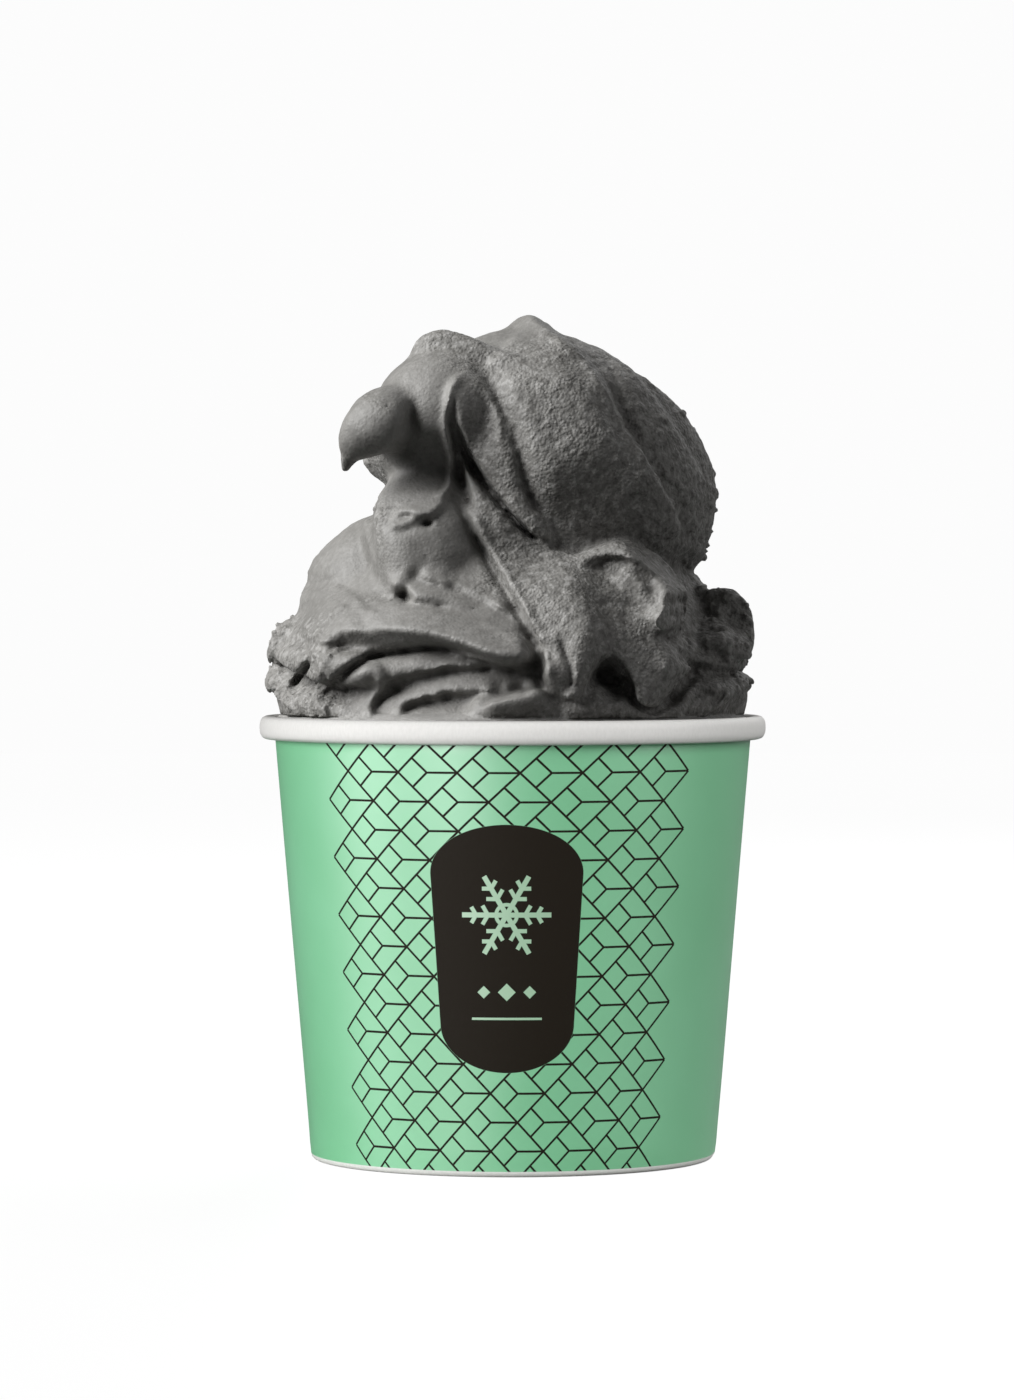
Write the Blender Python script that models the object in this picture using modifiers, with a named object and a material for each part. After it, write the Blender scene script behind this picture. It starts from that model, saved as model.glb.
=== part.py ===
"""Paper gelato cup heaped with grey gelato: a side wall with a rolled rim, a recessed base and the gelato.

The model is in metres, stands on z = 0 with its axis on z, and shows its front to -Y.
Sizes below are in millimetres, and every mesh is scaled to metres when it is made.
The gelato's heights are measured up from the cup's rim.
"""
import math

import bmesh
import bpy
import numpy as np
from mathutils import Matrix

# Driving dimensions of the cup, mm
RIM_RADIUS = 48.0
CUP_HEIGHT = 84.0
WALL_FOOT_RADIUS = 38.26
WALL_SLOPE = 0.085
PAPER = 0.4
GAP = 0.3
RIM_HALF_WIDTH = 1.6
RIM_HALF_HEIGHT = 2.2
RIM_SQUARENESS = 2.5
FOOT_ROUNDING = 0.6
FOLD_HEIGHT = 5.5
DISC_TOP = 6.9
TURN_STEPS = 64

# Driving dimensions of the gelato, mm
MOUND_UNDERSIDE = 0.3
MOUND_FOOT_RADIUS = 45.4
MOUND_WIDEST = 47.8
NECK_RADIUS = 44.4
BODY_VOXEL = 0.9
MOUND_TRIANGLES = 8800
HEART = np.array([1.0, 2.0, 28.0])

# The outlines below are given as seen from the front at this distance and height above the rim, mm
VIEW_DISTANCE = 1060.0
VIEW_HEIGHT = 24.2

METRE = 0.001

# Scooped masses: centre (x, y, height), radii (x, y, height), lean to the right in degrees
MASSES = {
    "pile": ((0, 0, 0), (45.3, 44.5, 40), 0),
    "left_dome": ((-24, 3, 18), (15.5, 19, 20.5), 0),
    "waist": ((3, 2, 36), (28.5, 26, 20), 0),
    "scoop": ((9, 3, 46), (32, 28, 24), 40),
    "crown": ((3, 3, 58), (13, 15, 15), 0),
    "shoulder": ((-12, -2, 53.5), (16.5, 20, 13.5), 0),
    "middle": ((-15, -13, 33), (13, 14, 13.5), 0),
}

# Rolls of gelato through the air: path (x, y, height), half widths, facing direction
CURLS = {
    "nose": (
        [(-15, -8, 55.5), (-19.5, -19, 56), (-23.6, -25, 54.8), (-27, -24, 52), (-29.8, -20.5, 49.2)],
        [6.0, 6.4, 6.2, 4.4, 1.8], (0.5, -1, 0)),
    "drip": (
        [(-27.5, -22, 51.5), (-30, -20, 49.2), (-31.2, -19, 47), (-30.9, -18.8, 45)],
        [3.2, 1.9, 1.4, 1.2], (0, -1, 0)),
    "cap": (
        [(-18.5, -8, 65), (-16, -9, 69.2), (-12.5, -10, 69.9), (-8, -12, 68.6), (-3, -14, 66.8),
            (5, -16, 63)],
        [1.8, 2.9, 3.1, 2.8, 2.3, 1.6], (0, -1, 1)),
}

# Folds lying on the masses: view turn, path (across, height, lift), half widths, half thicknesses
FOLDS = {
    "right_lump": (0, [(35.6, 23, -2), (41, 18, 0.5), (42, 13.4, 0), (41, 11, -1)], [1, 2, 1.9, 1],
        [3, 4, 4.5, 3]),
    "right_foot": (0, [(29.6, 2.2, 0), (35.6, 3.7, 0), (41, 5.6, -0.5), (43, 3, -1)],
        [2.1, 2.9, 2.9, 2], [3, 4, 4, 4]),
    "front_foot": (0, [(9, 0.6, 1), (16.6, 2.5, 1.5), (26, 1.8, 1.5), (32, 0.6, 1)],
        [1.9, 2.5, 2.3, 1.5], [4, 4.5, 4.5, 3]),
    "low_foot": (0, [(-8, 0.6, 0.5), (-2.4, 2.4, 1.5), (3.3, 3.5, 2), (9, 2.2, 1.5)],
        [1.5, 2.3, 2.5, 1.7], [3.5, 4.5, 5, 4]),
    "left_lobe": (0, [(-39, 18.5, -4), (-42, 13.4, -3), (-43.8, 9, -2), (-43, 4.4, -2)],
        [1.1, 2.1, 2.7, 2.1], [3, 4, 5, 4]),
    "right_belt": (90, [(-30, 14, -1), (-14, 19, 1), (4, 19, 1.5), (22, 14, 1), (36, 7, 0)],
        [3, 4.5, 5.5, 4.5, 3], [3, 4, 4, 4, 3]),
    "back_belt": (180, [(-36, 13, -1), (-18, 20, 1), (4, 21, 1.5), (24, 14, 1), (38, 6, 0)],
        [3, 5, 6, 5, 3], [3, 4, 4, 4, 3]),
    "back_foot": (180, [(-30, 2, 0), (-12, 4, 1), (10, 3, 1), (30, 6, 0)], [2.5, 3.5, 3.5, 2.5],
        [3, 4, 4, 3]),
    "left_belt": (270, [(-34, 8, -1), (-16, 12, 0.5), (4, 11, 0.5), (22, 14, 0), (34, 10, -1)],
        [3, 4, 4.5, 4.5, 3], [3, 4, 4, 4, 3]),
}

# Sheets draped on the front: outline (across, height, lift there), rounding of the edge
SHEETS = {
    "middle": (
        [(-27, 43, 0), (-14, 42, 0.5), (-8, 37, 1), (-2, 26, 1), (3, 14, 1), (-6, 18, 1), (-15, 21.3, 2),
         (-19, 22, 3.4), (-24, 26, 3), (-27.5, 34, 2)],
        3.0,
    ),
    "long_ribbon": (
        [(-40, 22, 0), (-25, 21, 0.5), (-8, 19, 0.7), (5.6, 12.4, 1.5), (4, 11, 3), (-3, 11.2, 4),
            (-10, 13, 5),
         (-20, 13.4, 6.5), (-28, 11.5, 6.5), (-33, 7, 5.5), (-37, -1, 3), (-40, 5, 2.5), (-36, 14, 1.5)],
        5.0,
    ),
    "flap": (
        [(-10.9, 52, 1), (-9.2, 42, 2), (-3, 28, 3.5), (2.4, 19, 4.5), (5.4, 11.5, 6.5), (6.6, 5, 7),
         (12.5, 3.8, 7), (16, 9, 7), (18, 10.7, 7), (20, 8.5, 7.5), (24.2, 2.6, 8), (27, 1.8, 8),
         (32, 7, 7.5), (35, 9.5, 7), (31, 13, 6), (31, 19, 6), (32, 23.4, 6), (27.6, 29, 4.5),
         (20, 33, 3.5), (11.5, 31, 3), (5, 33, 3), (0, 36.7, 2.5), (-6, 43.5, 1.5)],
        2.6,
    ),
    "blade": (
        [(-8.8, 66.4, 0.6), (-11.7, 60.7, 1.6), (-11.3, 55, 2.4), (-8.4, 49.3, 3), (-3.5, 42.4, 3),
            (2.6, 36.4, 3),
         (7.7, 33, 1.8), (4.9, 38.6, 2.4), (1.2, 44.7, 2.4), (0.3, 52.3, 2.2), (-2.5, 58.8, 1.6)],
        1.4,
    ),
    "tongue": (
        [(11.9, 30.3, 0.2), (19.9, 32.8, 1), (27, 28, 1.6), (30.3, 21.9, 2), (30.7, 15.8, 2.6),
            (27, 17, 2.5),
         (20.4, 24.4, 1.8)],
        1.4,
    ),
}

# Steps, ridges and grooves in the front: path (across, height), height, reach, groove beside it
STROKES = {
    "panel": ([(5, 76, 0), (13, 69, 0), (18.5, 61, 0), (24, 50, 0), (31, 38, 0), (34, 30, 0)],
        -2.2, 11, 1.2),
    "outer_panel": ([(19.5, 65, 0), (29.5, 57, 0), (36, 48, 0), (38, 44, 0)], -1.2, 7, 0.7),
    "inner_roll": ([(-28, -1, 0), (-25, 5, 0), (-17, 8, 0), (-8, 9.3, 0), (4.5, 7.5, 0)], 3.2, 3.4, 1.2),
    "low_roll": ([(-22, 0, 0), (-17, 3.5, 0), (-8, 4.6, 0), (2, 5, 0)], 2.8, 3.0, 1.2),
    "crease": ([(-11.3, 56.5, 0), (-8.5, 48.5, 0), (-4.6, 42.5, 0), (1, 36.5, 0), (5.2, 33.2, 0)],
        -3.6, 1.1, 0),
    "lip": ([(-9, 66.3, 0), (-11.8, 61, 0), (-12.5, 55, 0), (-11.5, 49, 0), (-12, 42.7, 0),
        (-15.6, 42.8, 0)], 1.8, 1.0, 0),
}


def unit(vectors):
    return vectors / np.maximum(np.linalg.norm(vectors, axis=-1, keepdims=True), 1e-9)


def smooth_through(values, count):
    """A smooth curve through the values, at evenly spaced places."""
    v = np.asarray(values, float)
    if v.ndim == 1:
        v = v[:, None]
    last = len(v) - 1
    t = np.linspace(0, last, count)
    i = np.clip(t.astype(int), 0, last - 1)
    f = (t - i)[:, None]
    p = np.concatenate([2 * v[:1] - v[1:2], v, 2 * v[-1:] - v[-2:-1]])
    a, b, c, d = p[i], p[i + 1], p[i + 2], p[i + 3]
    return b + 0.5 * f * (c - a + f * (2 * a - 5 * b + 4 * c - d + f * (3 * b - a - 3 * c + d)))


def smooth_round(points, each=6):
    """A smooth closed curve through the points."""
    p = np.asarray(points, float)
    t = np.arange(len(p) * each) / each
    i = t.astype(int)
    f = (t - i)[:, None]
    a, b, c, d = (p[(i + k) % len(p)] for k in (-1, 0, 1, 2))
    return b + 0.5 * f * (c - a + f * (2 * a - 5 * b + 4 * c - d + f * (3 * b - a - 3 * c + d)))


def front_depth(x, h):
    """y of the foremost mass at x and height h, as an array."""
    best = np.full(np.shape(x), np.inf)
    for centre, radii, lean in MASSES.values():
        a = math.radians(lean)
        dx = x - centre[0]
        dh = h - centre[2]
        long = (dx * math.cos(a) - dh * math.sin(a)) / radii[0]
        short = (dx * math.sin(a) + dh * math.cos(a)) / radii[2]
        inside = 1 - long ** 2 - short ** 2
        y = centre[1] - radii[1] * np.sqrt(np.clip(inside, 0, None))
        best = np.where(inside > 0, np.minimum(best, y), best)
    return np.where(np.isinf(best), 0.0, best)


def seen(points, turn):
    """Across, height and depth of points for a viewer walked round by turn degrees."""
    a = math.radians(turn)
    x = points[:, 0] * math.cos(a) + points[:, 1] * math.sin(a)
    y = points[:, 1] * math.cos(a) - points[:, 0] * math.sin(a)
    near = VIEW_DISTANCE / (VIEW_DISTANCE + y)
    return x * near, (points[:, 2] - VIEW_HEIGHT) * near + VIEW_HEIGHT, y


def placed(across, height, depth, turn):
    """The points that a viewer walked round by turn degrees sees there."""
    far = (VIEW_DISTANCE + depth) / VIEW_DISTANCE
    x = across * far
    a = math.radians(turn)
    return np.stack([
        x * math.cos(a) - depth * math.sin(a),
        x * math.sin(a) + depth * math.cos(a),
        (height - VIEW_HEIGHT) * far + VIEW_HEIGHT,
    ], -1)


def side_radius(height):
    """Rough radius of the heap at a height, for folds on its sides and back."""
    return 43.0 * np.sqrt(np.clip(1 - (np.asarray(height, float) / 58.0) ** 2, 0, None))


def lay(path, turn):
    """A path of (across, height, lift) laid on the heap's surface."""
    p = np.asarray(path, float)
    across, height, lift = p.T
    depth = np.zeros(len(p))
    if turn == 0:
        for _ in range(4):
            far = (VIEW_DISTANCE + depth) / VIEW_DISTANCE
            depth = front_depth(across * far, (height - VIEW_HEIGHT) * far + VIEW_HEIGHT)
    else:
        depth = -np.sqrt(np.clip(side_radius(height) ** 2 - across ** 2, 0, None))
    return placed(across, height, depth - lift, turn)


def roll(path, wide, thick, face=None, along=36, around=20, cap=0.12):
    """A lobe: an oval section carried along a smooth path, rounded off at both ends."""
    c = smooth_through(path, along)
    w = smooth_through(wide, along)
    t = smooth_through(thick, along)
    u = np.linspace(0, 1, along)[:, None]
    start = np.clip(1 - u / cap, 0, 1)
    end = np.clip(1 - (1 - u) / cap, 0, 1)
    taper = np.sqrt(1 - start ** 2) * np.sqrt(1 - end ** 2)
    ahead = unit(np.gradient(c, axis=0))
    out = c - HEART if face is None else np.broadcast_to(np.asarray(face, float), c.shape)
    out = unit(out - (out * ahead).sum(1, keepdims=True) * ahead)
    across = np.cross(ahead, out)
    a = np.linspace(0, 2 * math.pi, around, endpoint=False)[None, :, None]
    grid = c[:, None] + across[:, None] * (w * taper)[:, None] * np.cos(a)
    return grid + out[:, None] * (t * taper)[:, None] * np.sin(a)


def grid_faces(rows, columns, start):
    r = start + np.arange(rows - 1)[:, None] * columns
    c = np.arange(columns)[None, :]
    n = (c + 1) % columns
    return np.stack([r + c, r + n, r + columns + n, r + columns + c], 2).reshape(-1, 4)


def new_object(name, mesh, collection):
    obj = bpy.data.objects.new(name, mesh)
    collection.objects.link(obj)
    return obj


def applied(obj):
    """Replaces the object's mesh by what its modifiers make of it."""
    bpy.context.view_layer.update()
    done = obj.evaluated_get(bpy.context.evaluated_depsgraph_get())
    mesh = bpy.data.meshes.new_from_object(done)
    obj.modifiers.clear()
    before = obj.data
    obj.data = mesh
    bpy.data.meshes.remove(before)


def fused(obj, voxel):
    """Melts the closed shapes of a mesh into one skin."""
    melt = obj.modifiers.new("fuse", "REMESH")
    melt.mode = "VOXEL"
    melt.voxel_size = voxel
    applied(obj)


def get_points(mesh):
    v = np.empty(len(mesh.vertices) * 3, np.float32)
    mesh.vertices.foreach_get("co", v)
    return v.reshape(-1, 3).astype(float)


def get_normals(mesh):
    v = np.empty(len(mesh.vertices) * 3, np.float32)
    mesh.vertex_normals.foreach_get("vector", v)
    return v.reshape(-1, 3).astype(float)


def set_points(mesh, points):
    mesh.vertices.foreach_set("co", points.astype(np.float32).ravel())
    mesh.update()


def soften(mesh, rounds):
    """Moves every vertex halfway to the middle of its neighbours, some rounds over."""
    v = get_points(mesh)
    ends = np.empty(len(mesh.edges) * 2, np.int32)
    mesh.edges.foreach_get("vertices", ends)
    a, b = ends.reshape(-1, 2).T
    count = np.bincount(ends, minlength=len(v))[:, None]
    for _ in range(rounds):
        total = np.stack(
            [np.bincount(a, v[b, k], len(v)) + np.bincount(b, v[a, k], len(v)) for k in range(3)], 1)
        v = 0.5 * (v + total / np.maximum(count, 1))
    set_points(mesh, v)


def to_line(points, line):
    """Distance to a line of points, the side it lies on, and how far along it."""
    best = np.full(len(points), np.inf)
    side = np.zeros(len(points))
    along = np.zeros(len(points))
    for k in range(len(line) - 1):
        run = line[k + 1] - line[k]
        t = np.clip((points - line[k]) @ run / max(run @ run, 1e-12), 0, 1)
        off = points - line[k] - t[:, None] * run
        distance = np.hypot(off[:, 0], off[:, 1])
        nearer = distance < best
        best = np.where(nearer, distance, best)
        side = np.where(nearer, np.sign(run[0] * off[:, 1] - run[1] * off[:, 0]), side)
        along = np.where(nearer, (k + t) / (len(line) - 1), along)
    return best, side, along


def is_inside(points, ring):
    odd = np.zeros(len(points), bool)
    for (x0, y0), (x1, y1) in zip(ring, np.roll(ring, -1, axis=0)):
        if y0 != y1:
            crosses = (y0 > points[:, 1]) != (y1 > points[:, 1])
            odd ^= crosses & (points[:, 0] < x0 + (x1 - x0) * (points[:, 1] - y0) / (y1 - y0))
    return odd


def sheet_lift(points, outline, rounding):
    """How far a draped sheet stands out: full inside its outline, rounded at its edge."""
    ring = smooth_round(outline)
    distance = to_line(points, np.concatenate([ring, ring[:1]])[:, :2])[0]
    apart = np.hypot(*(points[:, None] - ring[None, ::2, :2]).transpose(2, 0, 1))
    weight = 1 / (apart ** 2.5 + 0.05)
    lift = (weight * ring[::2, 2]).sum(1) / weight.sum(1)
    t = np.clip(distance / rounding, 0, 1)
    raised = lift * np.sqrt(1 - (1 - t) ** 2)
    return np.where(is_inside(points, ring[:, :2]), raised, 0)


def stroke_lift(points, path, size, reach, groove):
    """A step raised on one side of a path with a groove on the other, or a ridge where groove is 0."""
    line = smooth_through(path, 6 * len(path))[:, :2]
    distance, side, along = to_line(points, line)
    fade = np.clip(along / 0.12, 0, 1) * np.clip((1 - along) / 0.12, 0, 1)
    bump = size * np.exp(-(distance / reach) ** 2)
    if groove:
        dip = -groove * np.exp(-distance ** 2)
        bump = np.where(side * np.sign(size) >= 0, np.abs(bump), dip)
    return bump * fade


def relief(mesh):
    """Drapes the sheets and draws the strokes on what faces the front."""
    v = get_points(mesh)
    across, height, _ = seen(v, 0)
    facing = np.clip(-get_normals(mesh)[:, 1] / 0.35, 0, 1)
    facing = facing ** 2 * (3 - 2 * facing)
    spots = np.stack([across, height], 1)
    lift = np.zeros(len(v))
    for outline, rounding in SHEETS.values():
        lift += sheet_lift(spots, outline, rounding)
    for path, size, reach, groove in STROKES.values():
        lift += stroke_lift(spots, path, size, reach, groove)
    v[:, 1] -= lift * facing
    set_points(mesh, v)


def hold_to_rim(mesh):
    """Keeps the heap within the rim: it fills the mouth and swells a little above it."""
    v = get_points(mesh)
    radius = np.hypot(v[:, 0], v[:, 1])
    most = np.minimum(MOUND_WIDEST, MOUND_FOOT_RADIUS + 0.5 * np.clip(v[:, 2], 0, None))
    least = np.where((v[:, 2] < 2) & (radius > 36), MOUND_FOOT_RADIUS - 0.6, 0)
    scale = np.clip(radius, least, most) / np.maximum(radius, 1e-6)
    v[:, :2] *= scale[:, None]
    set_points(mesh, v)


def boolean(obj, other, operation):
    cut = obj.modifiers.new(operation.lower(), "BOOLEAN")
    cut.operation = operation
    cut.object = other
    cut.solver = "EXACT"
    applied(obj)
    bpy.data.objects.remove(other)


def turned(name, profile, collection, steps=TURN_STEPS, closed=False):
    """A profile of (radius, height) points turned round the z axis."""
    mesh = bpy.data.meshes.new(name)
    edges = [(k, k + 1) for k in range(len(profile) - 1)]
    if closed:
        edges.append((len(profile) - 1, 0))
    mesh.from_pydata([(r, 0, z) for r, z in profile], edges, [])
    obj = new_object(name, mesh, collection)
    screw = obj.modifiers.new("turn", "SCREW")
    screw.steps = steps
    screw.render_steps = steps
    screw.use_merge_vertices = True
    screw.merge_threshold = 1e-4
    screw.use_normal_calculate = True
    applied(obj)
    return obj


def wall_radius(z):
    return WALL_FOOT_RADIUS + WALL_SLOPE * z


def arc(centre, radii, start, end, count, squareness=2.0):
    """Points on an oval, or a squarer oval, from one angle to another in degrees."""
    points = []
    for k in range(count):
        a = math.radians(start + (end - start) * k / (count - 1))
        c, s = math.cos(a), math.sin(a)
        power = 2 / squareness
        points.append((
            centre[0] + radii[0] * math.copysign(abs(c) ** power, c),
            centre[1] + radii[1] * math.copysign(abs(s) ** power, s),
        ))
    return points


def wall_profile():
    """The side wall's section: round the rim, down outside, round the foot, up the fold and inside."""
    rim_centre = (RIM_RADIUS - RIM_HALF_WIDTH, CUP_HEIGHT - RIM_HALF_HEIGHT)
    rim = arc(rim_centre, (RIM_HALF_WIDTH, RIM_HALF_HEIGHT), 170, -110, 15, RIM_SQUARENESS)
    under_rim = rim_centre[1] - RIM_HALF_HEIGHT + 0.1
    outside = [(wall_radius(under_rim), under_rim), (wall_radius(FOOT_ROUNDING), FOOT_ROUNDING)]
    foot = arc((wall_radius(0) - FOOT_ROUNDING, FOOT_ROUNDING), (FOOT_ROUNDING, FOOT_ROUNDING), -25, -90, 4)
    channel = PAPER + 2 * GAP
    fold_outer = wall_radius(0) - PAPER - channel
    fold_inner = fold_outer - PAPER
    curl = FOOT_ROUNDING / 2
    fold_foot = arc((fold_inner + curl, curl), (curl, curl), 270, 180, 3)
    fold_lean = WALL_SLOPE * FOLD_HEIGHT
    bottom = PAPER + 0.05
    fold = [
        (fold_inner + fold_lean, FOLD_HEIGHT), (fold_outer + fold_lean, FOLD_HEIGHT), (fold_outer, bottom)]
    inside = [(wall_radius(PAPER) - PAPER, bottom), (wall_radius(under_rim) - PAPER, under_rim)]
    return rim + outside + foot + fold_foot + fold + inside


def base_profile():
    """The base's section: a disc whose edge turns down into a skirt inside the wall."""
    rounding = 0.6
    top = wall_radius(DISC_TOP) - PAPER - GAP
    foot = 2 * PAPER
    skirt = wall_radius(foot) - PAPER - GAP
    under = DISC_TOP - PAPER
    edge = arc((top - rounding, DISC_TOP - rounding), (rounding, rounding), 90, 0, 4)
    return [(0, DISC_TOP)] + edge + [
        (skirt, foot), (skirt - PAPER, foot), (wall_radius(under) - 2 * PAPER - GAP, under), (0, under)]


def plug_profile():
    """The gelato inside the cup, up into the heap."""
    floor = DISC_TOP + GAP
    near_rim = CUP_HEIGHT - 2 * RIM_HALF_HEIGHT
    clear = PAPER + GAP
    return [
        (0, CUP_HEIGHT + 2.5), (NECK_RADIUS - 1.5, CUP_HEIGHT + 2.5), (NECK_RADIUS, CUP_HEIGHT),
        (wall_radius(near_rim) - clear, near_rim), (wall_radius(floor + 1) - clear, floor + 1),
        (wall_radius(floor) - clear - 1, floor), (0, floor)]


def heap_mesh():
    """All masses, curls and folds in one mesh of closed shapes, heights above the rim."""
    shape = bmesh.new()
    for centre, radii, lean in MASSES.values():
        tilt = Matrix.Rotation(math.radians(lean), 4, "Y")
        place = Matrix.Translation(centre) @ tilt @ Matrix.Diagonal((*radii, 1))
        bmesh.ops.create_uvsphere(shape, u_segments=48, v_segments=32, radius=1, matrix=place)
    mesh = bpy.data.meshes.new("gelato")
    shape.to_mesh(mesh)
    shape.free()
    points = [get_points(mesh)]
    faces = [list(p.vertices) for p in mesh.polygons]
    start = len(points[0])
    rolls = [roll(path, wide, wide, face) for path, wide, face in CURLS.values()]
    rolls += [roll(lay(path, turn), wide, thick) for turn, path, wide, thick in FOLDS.values()]
    for grid in rolls:
        rows, columns = grid.shape[:2]
        points.append(grid.reshape(-1, 3))
        faces += grid_faces(rows, columns, start).tolist()
        start += rows * columns
    mesh.clear_geometry()
    mesh.from_pydata(np.concatenate(points).tolist(), [], faces)
    mesh.update()
    return mesh


def gelato(collection):
    obj = new_object("gelato", heap_mesh(), collection)
    fused(obj, BODY_VOXEL)
    soften(obj.data, 5)
    relief(obj.data)
    fused(obj, BODY_VOXEL)
    soften(obj.data, 2)
    hold_to_rim(obj.data)
    thin = obj.modifiers.new("thin", "DECIMATE")
    thin.ratio = MOUND_TRIANGLES / (2 * len(obj.data.polygons))
    applied(obj)
    lift = np.array([0, 0, CUP_HEIGHT])
    set_points(obj.data, get_points(obj.data) + lift)
    box_height = 60.0
    bpy.ops.mesh.primitive_cube_add(size=1, location=(0, 0, CUP_HEIGHT + MOUND_UNDERSIDE - box_height / 2))
    below = bpy.context.active_object
    below.scale = (150, 150, box_height)
    boolean(obj, below, "DIFFERENCE")
    boolean(obj, turned("plug", plug_profile(), collection), "UNION")
    return obj


def in_metres(obj):
    set_points(obj.data, get_points(obj.data) * METRE)
    obj.data.shade_smooth()
    obj.data.set_sharp_from_angle(angle=math.radians(40))


def material(name, colour, roughness):
    made = bpy.data.materials.new(name)
    made.use_nodes = True
    shader = made.node_tree.nodes["Principled BSDF"]
    shader.inputs["Base Color"].default_value = (*colour, 1)
    shader.inputs["Roughness"].default_value = roughness
    return made


def main():
    for obj in list(bpy.data.objects):
        bpy.data.objects.remove(obj)
    parts = bpy.data.collections.new("gelato_cup")
    bpy.context.scene.collection.children.link(parts)
    wall = turned("cup_wall", wall_profile(), parts, closed=True)
    base = turned("cup_base", base_profile(), parts)
    food = gelato(parts)
    wall.data.materials.append(material("mint_paper", (0.32, 0.70, 0.45), 0.45))
    base.data.materials.append(material("white_paper", (0.80, 0.79, 0.77), 0.55))
    food.data.materials.clear()
    food.data.materials.append(material("grey_gelato", (0.13, 0.127, 0.12), 0.5))
    for obj in (wall, base, food):
        in_metres(obj)


main()
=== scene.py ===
"""The looks of a paper cup heaped with grey gelato: printed board, rolled rim and the folded gelato.

The row frame is in metres with z up and the cup's front at -Y. The sizes here are in millimetres and
become metres when a mesh is made. The gelato's heights are measured up from the rim.
"""
import math

import bmesh
import bpy
import numpy as np
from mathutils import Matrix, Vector


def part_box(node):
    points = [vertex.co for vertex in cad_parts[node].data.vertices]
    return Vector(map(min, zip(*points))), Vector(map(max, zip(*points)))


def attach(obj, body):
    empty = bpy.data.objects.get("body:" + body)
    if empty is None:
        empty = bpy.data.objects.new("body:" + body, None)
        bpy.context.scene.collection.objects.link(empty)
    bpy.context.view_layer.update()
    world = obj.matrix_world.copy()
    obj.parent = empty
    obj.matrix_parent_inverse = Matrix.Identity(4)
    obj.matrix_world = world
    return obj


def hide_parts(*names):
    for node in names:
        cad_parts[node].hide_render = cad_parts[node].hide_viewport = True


METRE = 0.001
MM_IN_METRE = 1000

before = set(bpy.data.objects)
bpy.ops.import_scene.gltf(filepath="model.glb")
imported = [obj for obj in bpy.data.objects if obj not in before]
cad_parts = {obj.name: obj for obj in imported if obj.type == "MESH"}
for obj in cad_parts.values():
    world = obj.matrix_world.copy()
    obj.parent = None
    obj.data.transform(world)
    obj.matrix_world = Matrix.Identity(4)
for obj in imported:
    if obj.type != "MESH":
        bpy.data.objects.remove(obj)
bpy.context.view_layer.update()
WALL_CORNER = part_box("cup_wall")[1] / METRE

# Cup, mm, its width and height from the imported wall
RIM_RADIUS = round(WALL_CORNER.x)
CUP_HEIGHT = round(WALL_CORNER.z)
WALL_FOOT_RADIUS = 38.26
WALL_SLOPE = 0.085
BOARD = 0.4
GAP = 0.3
RIM_HALF_WIDTH = 1.6
RIM_HALF_HEIGHT = 2.2
RIM_SQUARENESS = 2.5
FOOT_ROUNDING = 1.0
FOLD_HEIGHT = 5.5
DISC_TOP = 6.9
SEAM_ANGLE = math.radians(97)
SEAM_WIDTH = 8.0
SEAM_STEP = 0.3

# Print on the wall, mm and degrees from the front
PRINT_FOOT = 1.1
PRINT_TOP = 79.5

# The lattice: its rows and slanting lines; its columns' width at its foot and what they gain over its
# rise; how far it is turned, and leans; its two ends, counted in columns
ROW_TOP = 79.86
ROW_SPACING = 5.355
LINE_WIDTH = 0.42
LINE_PITCH = 7.6
LATTICE_FOOT = 14
LATTICE_RISE = 65
COLUMN_ANGLE = 14.35
COLUMN_GAIN = 0.59
LATTICE_TURN = 1.3
LATTICE_LEAN = 0.5
LATTICE_LEFT = -4.01
LATTICE_RIGHT = 1.51

# The badge: its middle; the heights between which its sides are straight; the caps beyond them; half its
# width at its foot, and what that gains to its head
BADGE_ANGLE = -1.5
BADGE_LOW = 28.2
BADGE_HIGH = 56.0
BADGE_FOOT_CAP = 8.8
BADGE_HEAD_CAP = 9.05
BADGE_HALF_ANGLE = 17.5
BADGE_GAIN = 1.5

# Gelato, mm; rolls turn their backs to its heart, and folds at the sides lie on the side dome
MOUND_UNDERSIDE = 0.3
MOUND_FOOT_RADIUS = 45.4
MOUND_WIDEST = 47.8
MOUND_SPREAD = 0.5
RIM_ROOM = 3.8
NECK_RADIUS = 44.4
PLUG_RISE = 1
HEART = np.array([1.0, 2.0, 28.0])
SIDE_DOME_RADIUS = 43.0
SIDE_DOME_HEIGHT = 58.0

# How the heap is made: voxels of its three fusings, mm; the reach from which a ridge counts as broad, mm;
# the part of the look at which the skin faces an eye fully; rounds of softening for the hollows
FIRST_VOXEL = 0.8
SECOND_VOXEL = 0.55
LAST_VOXEL = 0.42
BROAD_REACH = 1.2
FACING = 0.35
HOLLOW_ROUNDS = 14
HEAP_TRIANGLES = 190000

# How near its axis a turned surface starts, before the gap is closed, mm
POLE_RADIUS = 0.01

# Relief of the skin, mm: size of the grain, its height, and its further height where icy
GRAIN = ((9.0, 0.3, 0.0), (3.1, 0.04, 0.06), (1.7, 0.02, 0.06), (0.95, 0.0, 0.13))

# Crumbs, and the patches that they stand in: the noise's size in mm, its number, the value from which
# they start and how much more makes them full; the crumbs' height, and more where the sides are torn, mm
CRUMBS = (1.3, 5, 0.34, 0.3)
CRUMB_PATCHES = (13.0, 6, -0.2, 0.4)
CRUMB_HEIGHT = 0.12
TORN_CRUMB_HEIGHT = 0.5
TORN_FROM = 22
TORN_OVER = 14
LEAST_ICY = 0.3

# Three whole numbers that scatter the corners of the noise
SCATTER = (73856093, 19349663, 83492791)

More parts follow.
